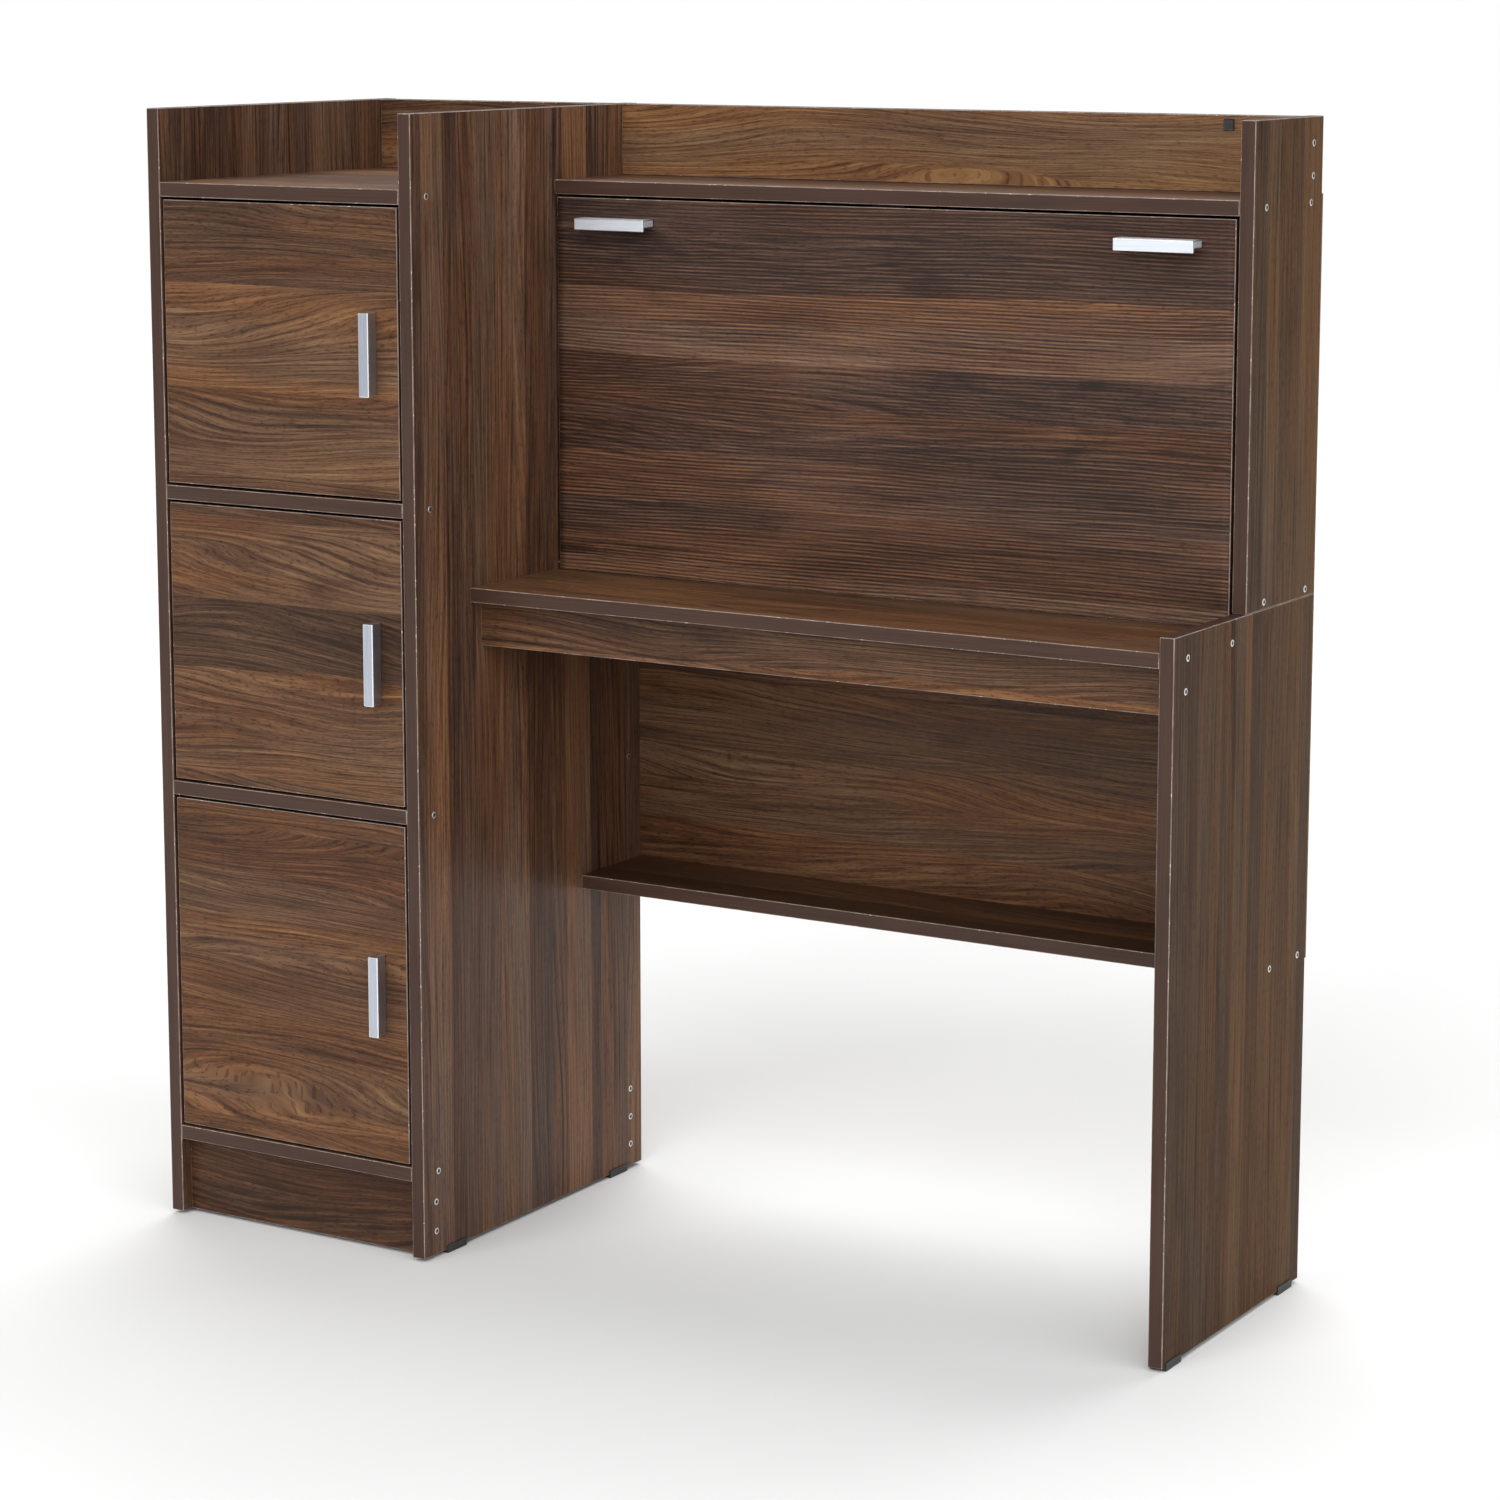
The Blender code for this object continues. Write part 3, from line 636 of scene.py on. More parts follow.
def plated_steel(name, dark, light, roughness):
    made, tree, shader = finish_material(name, roughness, metallic=1.0)
    place = step(tree, "TexCoord", {}).outputs["Object"]
    clouds = step(tree, "TexNoise", {"Vector": place, "Scale": 180.0, "Detail": 3.0}).outputs["Fac"]
    tree.links.new(ramp(tree, clouds, [(0.3, dark), (0.7, light)]), shader.inputs["Base Color"])
    rough = sums(tree, "MULTIPLY", clouds, 0.25)
    tree.links.new(sums(tree, "ADD", rough, roughness - 0.1), shader.inputs["Roughness"])
    return made


hardboard = bare_hardboard("bare_hardboard")
zinc = plated_steel("zinc_plated_steel", (0.68, 0.67, 0.65), (0.86, 0.85, 0.83), 0.4)


def make_back_sheet(name, node, cut, shade):
    """A printed sheet, kept back from the CAD sheet's rear by the height of a nail head."""
    low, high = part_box(node)
    shape = block(low, (high.x, high.y - NAIL_RISE, high.z))
    lay_paper(shape, 1, 0, cut, shade)
    for face in shape.faces:
        face.material_index = 0 if face.normal.y < -0.5 else 1
    made = new_piece(name, shape, (figured_walnut, hardboard))
    round_edges(made, SHEET_ROUNDING, 1, finish_index=1)
    settle(made)
    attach(made, "carcass")
    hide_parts(node)


def along(start, end, spacing):
    count = max(2, round(abs(end - start) / spacing) + 1)
    return [start + (end - start) * index / (count - 1) for index in range(count)]


def nail_sheet(name, node, behind):
    """Nails round a sheet, into the boards behind which it lies. behind is their nodes."""
    low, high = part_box(node)
    shape = bmesh.new()
    places = []
    for board in behind:
        board_low, board_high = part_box(board)
        first, last = Vector(board_low), Vector(board_high)
        if last.x - first.x > last.z - first.z:
            run = (max(first.x, low.x) + NAIL_FROM_END, min(last.x, high.x) - NAIL_FROM_END)
            up = min(max((first.z + last.z) / 2, low.z + NAIL_FROM_TOP), high.z - NAIL_FROM_TOP)
            places += [(x, up) for x in along(*run, NAIL_SPACING)]
        else:
            rise = (max(first.z, low.z) + 2 * NAIL_FROM_END, min(last.z, high.z) - 2 * NAIL_FROM_END)
            over = min(max((first.x + last.x) / 2, low.x + NAIL_FROM_SIDE), high.x - NAIL_FROM_SIDE)
            places += [(over, z) for z in along(*rise, NAIL_SPACING)]
    for x, z in places:
        domed_head(shape, facing((x, high.y - NAIL_RISE, z), (0, 1, 0)), NAIL_RADIUS, NAIL_RISE, 12)
    made = new_piece(name, shape, (zinc,))
    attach(made, "carcass")


tower_shelves = ("tower_top_shelf", "tower_upper_shelf", "tower_lower_shelf", "tower_bottom_shelf")

make_back_sheet("tower_back_sheet", "tower_back_panel", 51, 0.0)
make_back_sheet("hutch_back_sheet", "hutch_back_panel", 52, 0.0)
make_back_sheet("modesty_sheet", "modesty_panel", 53, 0.04)
nail_sheet(
    "tower_back_nails",
    "tower_back_panel",
    ("left_side_panel", "middle_side_panel", *tower_shelves),
)
nail_sheet(
    "hutch_back_nails",
    "hutch_back_panel",
    ("middle_side_panel", "right_upper_panel", "hutch_top_shelf", "hutch_floor"),
)
nail_sheet("modesty_nails", "modesty_panel", ("middle_side_panel", "right_lower_panel", "foot_shelf"))

# ---- Screws --------------------------------------------------------------------------------
# Zinc-plated chipboard screws with a wide flat head and a hexagonal socket go in through the
# panels' faces into the ends of the boards. Their heads are left showing.

HEAD_RADIUS = 3.7 * MM
HEAD_RISE = 0.45 * MM
HEAD_BEVEL = 0.4 * MM
SOCKET_RADIUS = 2.1 * MM
SOCKET_FLOOR = 0.08 * MM


def hexagon_radius(angle):
    """How far a hexagonal socket's wall is from its middle, where 1 is the middle of a flat."""
    sector = angle % (math.pi / 3) - math.pi / 6
    return 1.0 / math.cos(sector)


def socket_screw(shape, place):
    sides = 36
    levels = [
        (lambda angle: HEAD_RADIUS, 0.0),
        (lambda angle: HEAD_RADIUS, HEAD_RISE * 0.5),
        (lambda angle: HEAD_RADIUS - HEAD_BEVEL, HEAD_RISE),
        (lambda angle: SOCKET_RADIUS * hexagon_radius(angle), HEAD_RISE),
        (lambda angle: SOCKET_RADIUS * hexagon_radius(angle), SOCKET_FLOOR),
    ]
    rings = [add_ring(shape, place, radius_at, up, sides) for radius_at, up in levels]
    shape.faces.new(rings[0][::-1])
    for depth, (lower, upper) in enumerate(zip(rings, rings[1:])):
        for side in range(sides):
            after = (side + 1) % sides
            face = shape.faces.new((lower[side], lower[after], upper[after], upper[side]))
            # the socket's walls and floor take the painted shade finish
            face.material_index = 1 if depth == len(levels) - 2 else 0
    floor_face = shape.faces.new(rings[-1])
    floor_face.material_index = 1


# Painted shade: the near-black finish of the hex sockets and cross recesses stands for the shadow inside
# them.
socket_shade = moulded_plastic("socket_shadow", (0.012, 0.011, 0.010), (0.03, 0.028, 0.026), 0.6, 0.2)

# Which board each screw goes into, and how far from that board's front edge, or its rear if negative.
tower_screws = [
    *((shelf, 28 * MM) for shelf in tower_shelves),
    *((shelf, -24 * MM) for shelf in ("tower_lower_shelf", "tower_bottom_shelf")),
]
desk_screws = [
    ("desktop", 32 * MM),
    ("desktop", -33 * MM),
    ("foot_shelf", 32 * MM),
    ("foot_shelf", -21 * MM),
]
hutch_screws = [
    ("hutch_top_shelf", 30 * MM),
    ("hutch_top_shelf", -28 * MM),
    ("hutch_floor", 24 * MM),
    ("hutch_floor", -22 * MM),
]
# Boards that stand on edge take two screws each, at these shares of their height.
plinth_screws = [("front_plinth", (0.31, 0.70)), ("rear_plinth", (0.31, 0.70))]
tower_gallery_screws = [("tower_gallery", (0.24, 0.66))]
hutch_gallery_screws = [("hutch_gallery", (0.24, 0.66))]
rail_screws = [("desk_front_rail", (0.5,))]

for name, panel, outwards, lying, standing in (
    ("left_panel_screws", "left_side_panel", -1, tower_screws, plinth_screws + tower_gallery_screws),
    ("middle_panel_screws", "middle_side_panel", 1, tower_screws, plinth_screws),
    ("middle_panel_inner_screws", "middle_side_panel", -1, desk_screws + hutch_screws, rail_screws),
    ("right_lower_screws", "right_lower_panel", 1, desk_screws, rail_screws),
    ("right_upper_screws", "right_upper_panel", 1, hutch_screws, hutch_gallery_screws),
):
    panel_low, panel_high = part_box(panel)
    face_x = panel_high.x if outwards > 0 else panel_low.x
    spots = []
    for board, distance in lying:
        low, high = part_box(board)
        spots.append((low.y + distance if distance > 0 else high.y + distance, (low.z + high.z) / 2))
    for board, shares in standing:
        low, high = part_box(board)
        spots += [((low.y + high.y) / 2, low.z + share * (high.z - low.z)) for share in shares]
    shape = bmesh.new()
    for y, z in spots:
        socket_screw(shape, facing((face_x, y, z), (outwards, 0, 0)))
    screws = new_piece(name, shape, (zinc, socket_shade))
    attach(screws, "carcass")

# ---- Doors ---------------------------------------------------------------------------------
# Three doors of the same faced board hang inside the tower on concealed hinges, their grain
# running across. Each has two blind cup holes bored in its back.

CUP_HOLE_RADIUS = 17.5 * MM
CUP_HOLE_DEPTH = 12 * MM

DOORS = ("lower_door", "middle_door", "upper_door")
for name, cut, shade in zip(DOORS, (61, 66, 63), (-0.13, -0.11, -0.07)):
    leaf = make_board(f"{name}_leaf", name, 0, cut, figured_walnut, body=name, shade=shade)
    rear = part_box(name)[1].y
    for end in ("lower", "upper"):
        cup_low, cup_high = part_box(f"{name}_{end}_hinge_cup")
        cup_middle = (cup_low + cup_high) / 2
        mouth = (cup_middle.x, rear, cup_middle.z)
        drill(leaf, CUP_HOLE_RADIUS, CUP_HOLE_DEPTH, mouth, (0, -1, 0), 48)

# ---- Door handles --------------------------------------------------------------------------
# Short pulls cut from one aluminium extrusion, a flat plate on a narrower web, with bright
# chamfers and a satin finish drawn along their length. Two screws hold each from behind.

PLATE_THICKNESS = 3.5 * MM
WEB_SHARE = 8.5 / 13.0  # web's width as a share of the plate's
HANDLE_CHAMFER = 1.0 * MM
HANDLE_SCREW_SPREAD = 32 * MM
HANDLE_SCREW_RADIUS = 4.2 * MM
HANDLE_SCREW_RISE = 2.2 * MM
CROSS_ARM = 0.5  # the cross recess, as shares of the head's radius
CROSS_HALF_WIDTH = 0.13


def satin_aluminium(name, dark, light, roughness, relief, metallic=1.0):
    """Anodised extrusion: fine scratches run along it."""
    made, tree, shader = finish_material(name, roughness, metallic=metallic)
    place = step(tree, "UVMap", {}, uv_map="run").outputs[0]
    lines = grain_noise(tree, place, (30.0, 5200.0, 1.0), 3.0, 0.6)
    broad = grain_noise(tree, place, (12.0, 700.0, 1.0), 2.0)
    mixed = sums(tree, "ADD", sums(tree, "MULTIPLY", lines, 0.6), sums(tree, "MULTIPLY", broad, 0.4))
    tree.links.new(ramp(tree, mixed, [(0.3, dark), (0.7, light)]), shader.inputs["Base Color"])
    rough = sums(tree, "MULTIPLY", lines, 0.2)
    tree.links.new(sums(tree, "ADD", rough, roughness - 0.1), shader.inputs["Roughness"])
    add_relief(tree, shader, lines, relief, 0.05 * MM)
    return made


aluminium = satin_aluminium("satin_aluminium", (0.43, 0.46, 0.525), (0.56, 0.595, 0.665), 0.36, 0.15)
bright_chamfer = satin_aluminium("bright_chamfer", (0.90, 0.92, 0.95), (0.97, 0.98, 1.0), 0.3, 0.1)


def make_handle(name, node, upright, finish):
    """A pull standing for its CAD node. The web is flush with the plate's left edge, or its top edge."""
    low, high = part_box(node)
    plate_back = low.y + PLATE_THICKNESS
    if upright:
        web = low.x + WEB_SHARE * (high.x - low.x)
        section = [(low.x, low.y), (high.x, low.y), (high.x, plate_back)]
        section += [(web, plate_back), (web, high.y), (low.x, high.y)]
        shape = extrusion(section, low.z, high.z, lambda a, b, t: (a, b, t))
    else:
        web = high.z - WEB_SHARE * (high.z - low.z)
        section = [(low.z, low.y), (low.z, plate_back), (web, plate_back)]
        section += [(web, high.y), (high.z, high.y), (high.z, low.y)]
        shape = extrusion(section, low.x, high.x, lambda a, b, t: (t, b, a))
    made = new_piece(name, shape, (finish, bright_chamfer))
    round_edges(made, HANDLE_CHAMFER, 2, finish_index=1)
    settle(made)
    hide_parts(node)
    return made


def cross_screw(shape, place, radius, rise):
    """A domed screw head with a cross recess, drawn as a dark cross of painted shadow just above the dome.
    """
    domed_head(shape, place, radius, rise, 24)
    arm = radius * CROSS_ARM
    half = radius * CROSS_HALF_WIDTH
    up = rise * 1.02
    corners = [(arm, half), (half, half), (half, arm), (-half, arm), (-half, half), (-arm, half)]
    corners += [(-a, -b) for a, b in corners]
    lower = [shape.verts.new(place @ Vector((a, b, rise * 0.7))) for a, b in corners]
    upper = [shape.verts.new(place @ Vector((a, b, up))) for a, b in corners]
    faces = [shape.faces.new(lower[::-1]), shape.faces.new(upper)]
    for index in range(len(corners)):
        after = (index + 1) % len(corners)
        faces.append(shape.faces.new((lower[index], lower[after], upper[after], upper[index])))
    for face in faces:
        face.material_index = 1


for name in DOORS:
    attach(make_handle(f"{name}_pull", f"{name}_handle", True, aluminium), name)
    low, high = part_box(f"{name}_handle")
    web_x = low.x + WEB_SHARE * (high.x - low.x) / 2
    middle_z = (low.z + high.z) / 2
    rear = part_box(name)[1].y
    shape = bmesh.new()
    for offset in (-HANDLE_SCREW_SPREAD, HANDLE_SCREW_SPREAD):
        place = facing((web_x, rear, middle_z + offset), (0, 1, 0))
        cross_screw(shape, place, HANDLE_SCREW_RADIUS, HANDLE_SCREW_RISE)
    screws = new_piece(f"{name}_pull_screws", shape, (zinc, socket_shade))
    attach(screws, name)

# ---- Hinges --------------------------------------------------------------------------------
# Concealed steel hinges, two to a door. A dished cup with two screwed wings is let into the
# door, and a cranked arm sits on a winged plate screwed to the left panel.

CUP_WALL = 1.0 * MM
CUP_LINING = 17.25 * MM
WING_REACH = 26 * MM
WING_HALF_WIDTH = 6 * MM
WING_SCREW_OUT = 21 * MM
WING_ROOT_GAP = 0.5 * MM
WING_LIFT = 0.02 * MM
WING_DROP = 0.1 * MM  # wing's face below the cup's rim
CUP_RIM_BEVEL = 0.8 * MM
CUP_FLOOR_BEVEL = 2.0 * MM
FLANGE_BEVEL_DEPTH = 0.3 * MM
FLANGE_BEVEL_WIDTH = 0.4 * MM
CUP_ROUNDING = 0.15 * MM
KNUCKLE_RADIUS = 2.6 * MM
KNUCKLE_HALF = 11 * MM
KNUCKLE_OFFSET = 10 * MM
KNUCKLE_DEPTH = 4.5 * MM
PLATE_RISE = 5.0 * MM
PLATE_WING_RISE = 2.4 * MM
PLATE_LAP = 1 * MM  # where the arm, its plate and the wings run into each other
PLATE_MARGIN = 1.5 * MM  # plate past the arm, above and below
ARM_SETBACK = 32 * MM
ARM_HALF_HEIGHT = 6.5 * MM
ARM_THICKNESS = 9 * MM
ARM_SINK = 0.5 * MM
ARM_ROUNDING = 0.5 * MM
ARM_SCREW_SHARES = (0.42, 0.82)
NOSE_WIDTH = 13 * MM
SMALL_SCREW_RADIUS = 3.0 * MM
SMALL_SCREW_RISE = 1.0 * MM

hinge_steel = plated_steel("nickel_plated_steel", (0.55, 0.55, 0.55), (0.75, 0.75, 0.74), 0.22)


def turned_ring(shape, place, profile, sides):
    """Adds a closed profile of (radius, height) pairs, turned round the place's Z axis."""
    rings = []
    for radius, up in profile:
        if radius == 0:
            rings.append([shape.verts.new(place @ Vector((0, 0, up)))] * sides)
        else:
            rings.append(add_ring(shape, place, lambda angle: radius, up, sides))
    for lower, upper in zip(rings, rings[1:]):
        for side in range(sides):
            after = (side + 1) % sides
            corners = [lower[side], lower[after], upper[after], upper[side]]
            shape.faces.new(list(dict.fromkeys(corners)))


def rounded_tab(half_width, near, far, steps=8):
    """Outline of a strap from near to far whose far end is a half circle."""
    points = [(-half_width, near), (half_width, near)]
    for index in range(steps + 1):
        angle = math.pi * index / steps
        points.append((half_width * math.cos(angle), far - half_width + half_width * math.sin(angle)))
    return points


def add_prism(shape, outline, start, end, place):
    """Adds an extrusion of this outline to a shape that is already begun."""
    extra = extrusion(outline, start, end, place)
    mesh = bpy.data.meshes.new("extra")
    extra.to_mesh(mesh)
    extra.free()
    shape.from_mesh(mesh)
    bpy.data.meshes.remove(mesh)


def make_hinge_cup(name, node, body):
    low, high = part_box(node)
    middle = (low + high) / 2
    rim = high.y
    seat = rim - CUP_WALL
    place = facing((middle.x, 0, middle.z), (0, 1, 0))
    flange = (high.x - low.x) / 2
    inside = CUP_LINING - CUP_WALL
    dish = [
        (0, low.y),
        (CUP_LINING, low.y),
        (CUP_LINING, seat),
        (flange, seat),
        (flange, rim - FLANGE_BEVEL_DEPTH),
        (flange - FLANGE_BEVEL_WIDTH, rim),
        (inside + CUP_RIM_BEVEL, rim),
        (inside, rim - CUP_RIM_BEVEL),
        (inside, low.y + CUP_WALL + CUP_FLOOR_BEVEL),
        (inside - CUP_FLOOR_BEVEL, low.y + CUP_WALL),
        (0, low.y + CUP_WALL),
    ]
    shape = bmesh.new()
    turned_ring(shape, place, dish, 48)
    for up in (-1, 1):
        tab = rounded_tab(WING_HALF_WIDTH, CUP_LINING + WING_ROOT_GAP, WING_REACH)
        outline = [(a, up * b) for a, b in tab]
        face_y = rim - WING_DROP
        add_prism(shape, outline, seat + WING_LIFT, face_y, lambda a, b, t: (middle.x + a, t, middle.z + b))
        spot = facing((middle.x, face_y, middle.z + up * WING_SCREW_OUT), (0, 1, 0))
        cross_screw(shape, spot, SMALL_SCREW_RADIUS, SMALL_SCREW_RISE)
    knuckle = facing((middle.x - KNUCKLE_OFFSET, seat - KNUCKLE_DEPTH, middle.z), (0, 0, 1))
    rod = [(0, -KNUCKLE_HALF), (KNUCKLE_RADIUS, -KNUCKLE_HALF)]
    rod += [(radius, -up) for radius, up in rod[::-1]]
    turned_ring(shape, knuckle, rod, 20)
    bmesh.ops.recalc_face_normals(shape, faces=shape.faces)
    made = new_piece(name, shape, (hinge_steel, socket_shade))
    round_edges(made, CUP_ROUNDING, 1)
    settle(made)
    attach(made, body)
    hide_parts(node)


def make_hinge_arm(name, node):
    low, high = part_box(node)
    middle_z = (low.z + high.z) / 2
    base_y = low.y + ARM_SETBACK
    arm_low = low.x + PLATE_RISE - ARM_SINK
    arm_high = arm_low + ARM_THICKNESS
    nose = high.x - NOSE_WIDTH
    outline = [
        (nose, low.y),
        (high.x, low.y),
        (high.x, low.y + NOSE_WIDTH),
        (arm_high, base_y + NOSE_WIDTH),
        (arm_high, high.y - PLATE_LAP),
        (arm_low, high.y - PLATE_LAP),
        (arm_low, base_y),
        (nose, low.y + NOSE_WIDTH / 2),
    ]
    spans = (middle_z - ARM_HALF_HEIGHT, middle_z + ARM_HALF_HEIGHT)
    shape = extrusion(outline, *spans, lambda a, b, t: (a, b, t))
    rail_front = base_y - PLATE_LAP
    rail_top = arm_low + PLATE_LAP
    rail = [(low.x, rail_front), (rail_top, rail_front), (rail_top, high.y), (low.x, high.y)]
    half = ARM_HALF_HEIGHT + PLATE_MARGIN
    add_prism(shape, rail, middle_z - half, middle_z + half, lambda a, b, t: (a, b, t))
    wing_y = (base_y + high.y) / 2
    wing_reach = (high.z - low.z) / 2
    for up in (-1, 1):
        outline = [(a, up * b) for a, b in rounded_tab(WING_HALF_WIDTH, half - PLATE_LAP, wing_reach)]
        add_prism(
            shape, outline, low.x, low.x + PLATE_WING_RISE, lambda a, b, t: (t, wing_y + a, middle_z + b)
        )
        spot = (low.x + PLATE_WING_RISE, wing_y, middle_z + up * (wing_reach - WING_HALF_WIDTH))
        cross_screw(shape, facing(spot, (1, 0, 0)), SMALL_SCREW_RADIUS, SMALL_SCREW_RISE)
    for share in ARM_SCREW_SHARES:
        spot = (arm_high, base_y + share * (high.y - base_y), middle_z)
        cross_screw(shape, facing(spot, (1, 0, 0)), SMALL_SCREW_RADIUS, SMALL_SCREW_RISE)
    made = new_piece(name, shape, (hinge_steel, socket_shade))
    round_edges(made, ARM_ROUNDING)
    settle(made)
    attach(made, "carcass")
    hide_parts(node)


for name in DOORS:
    for end in ("lower", "upper"):
        make_hinge_cup(f"{name}_{end}_cup", f"{name}_{end}_hinge_cup", name)
        make_hinge_arm(f"{name}_{end}_arm", f"{name}_{end}_hinge_arm")

# ---- Magnetic catches ----------------------------------------------------------------------
# A brown plastic case holds a magnet between two steel pole plates. It is screwed beside each
# door's free edge, and under the hutch shelf for the flap. A steel strike faces it.

POLE_WIDTH = 1.4 * MM
POLE_PROUD = 0.4 * MM
POLE_OFFSET = 2.6 * MM  # either side of the case's middle
POLE_FROM_END = 7 * MM
POLE_SEAT = 3 * MM  # how deep it stands in the case
CATCH_SCREW_FROM_REAR = 7 * MM
CATCH_SCREW_SHARES = (0.16, 0.84)
CASE_ROUNDING = 1.2 * MM
STRIKE_SCREW_RADIUS = 2.4 * MM
STRIKE_SCREW_SINK = 0.6 * MM
STRIKE_SCREW_RISE = 0.54 * MM
STRIKE_RECESS_MARGIN = 0.4 * MM
STRIKE_ROUNDING = 0.3 * MM

brown_plastic = moulded_plastic(
    "brown_moulded_plastic", (0.045, 0.025, 0.016), (0.07, 0.041, 0.027), 0.4, 0.3
)


def make_catch(name, node, upright, inwards):
    """inwards is the side of the case that faces the cupboard's middle, where its screws are."""
    low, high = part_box(node)
    middle = (low + high) / 2
    case_front = low.y + POLE_PROUD
    long_axis, thick_axis = (2, 0) if upright else (0, 2)
    shape = block((low.x, case_front, low.z), high)
    case = new_piece(name, shape, (brown_plastic, hinge_steel, socket_shade))
    round_edges(case, CASE_ROUNDING, 3)
    settle(case)
    shape = bmesh.new()
    shape.from_mesh(case.data)
    start = len(shape.faces)
    for offset in (-POLE_OFFSET, POLE_OFFSET):
        pole_low, pole_high = Vector(low), Vector(high)
        pole_low[thick_axis] = middle[thick_axis] + offset - POLE_WIDTH / 2
        pole_high[thick_axis] = middle[thick_axis] + offset + POLE_WIDTH / 2
        pole_low[long_axis] = low[long_axis] + POLE_FROM_END
        pole_high[long_axis] = high[long_axis] - POLE_FROM_END
        pole_high.y = case_front + POLE_SEAT
        add_block(shape, pole_low, pole_high)
    shape.faces.ensure_lookup_table()
    for face in shape.faces[start:]:
        face.material_index = 1
    shape.to_mesh(case.data)
    shape.free()
    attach(case, "carcass")
    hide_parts(node)
    screw_shape = bmesh.new()
    for share in CATCH_SCREW_SHARES:
        spot = Vector(middle)
        spot.y = high.y - CATCH_SCREW_FROM_REAR
        spot[long_axis] = low[long_axis] + share * (high[long_axis] - low[long_axis])
        spot[thick_axis] = low[thick_axis] if inwards[thick_axis] < 0 else high[thick_axis]
        cross_screw(screw_shape, facing(spot, inwards), SMALL_SCREW_RADIUS, SMALL_SCREW_RISE)
    screws = new_piece(f"{name}_screws", screw_shape, (zinc, socket_shade))
    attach(screws, "carcass")


def make_strike(name, node, body):
    """A thin steel plate with one screw sunk flush in its rear face."""
    low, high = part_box(node)
    shape = block(low, high)
    made = new_piece(name, shape, (hinge_steel, socket_shade))
    round_edges(made, STRIKE_ROUNDING)
    settle(made)
    mouth = ((low.x + high.x) / 2, high.y, (low.z + high.z) / 2)
    recess = STRIKE_SCREW_RADIUS + STRIKE_RECESS_MARGIN
    drill(made, recess, STRIKE_SCREW_SINK, mouth, (0, -1, 0), sides=24)
    shape = bmesh.new()
    shape.from_mesh(made.data)
    seat = facing((mouth[0], high.y - STRIKE_SCREW_SINK, mouth[2]), (0, 1, 0))
    cross_screw(shape, seat, STRIKE_SCREW_RADIUS, STRIKE_SCREW_RISE)
    shape.to_mesh(made.data)
    shape.free()
    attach(made, body)
    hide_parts(node)


for name in DOORS:
    make_catch(f"{name}_catch_case", f"{name}_catch", True, (-1, 0, 0))
    make_strike(f"{name}_strike_plate", f"{name}_strike", name)

# ---- Flap ----------------------------------------------------------------------------------
# The drop front is one board faced with a walnut sheet pressed in fine wavy ridges. It turns on
# a steel pin at each lower corner and comes to rest on the desktop.

RIDGE_PITCH = 3.9 * MM
RIDGE_DEPTH = 0.5 * MM
SHEET_THICKNESS = 0.6 * MM
SHEET_INSET = 0.9 * MM
SHEET_LAP = 0.1 * MM  # how far it is pressed into the board
SHEET_CUT = (3.37, 7.9)  # where on the printed roll it starts
ROWS_PER_RIDGE = 4
COLUMN_WIDTH = 9 * MM
FLAP_PIN_HOLE_DEPTH = 14.3 * MM

brushed_walnut = walnut_print(
    "walnut_grain_ridged",
    {
        "tones": (
            (0.024, 0.0128, 0.0095),
            (0.076, 0.0375, 0.0245),
            (0.150, 0.078, 0.045),
            (0.24, 0.142, 0.082),
        ),
        "lift": 0.60,
        "plank_width": 0.05,
        "plank_wave": 0.03,
        "planks": 0.30,
        "arch": (1.0, 6.5),
        "sway": 0.10,
        "ripple": 0.0025,
        "ring_gap": 0.008,
        "rings": 0.18,
        "clouds": 0.22,
        "streaks": 0.14,
        "fibres": 0.30,
        "veins": 0.14,
        "pores": 0.16,
        "eyes": 0.28,
        # painted shade in each pressed groove
        "groove_painted_shade": 0.46,
        "roughness": 0.5,
        "sheen": 0.35,
        "relief": 0.15,
    },
)


def ridge(x, z):
    """Depth of the pressed pattern at a point, as a share: 0 on a crest and 1 in a groove."""
    slow = 5.0 * MM * noise.noise((4.0 * x, 0.0, 18.0 * z))
    quick = 0.7 * MM * noise.noise((20.0 * x, 3.0, 60.0 * z))
    wander = slow + quick
    wave = 0.5 - 0.5 * math.cos(2 * math.pi * (z + wander) / RIDGE_PITCH)
    strength = 0.85 + 0.8 * noise.noise((5.0 * x, 7.0, 20.0 * z))
    return wave**1.3 * min(1.0, max(0.15, strength))


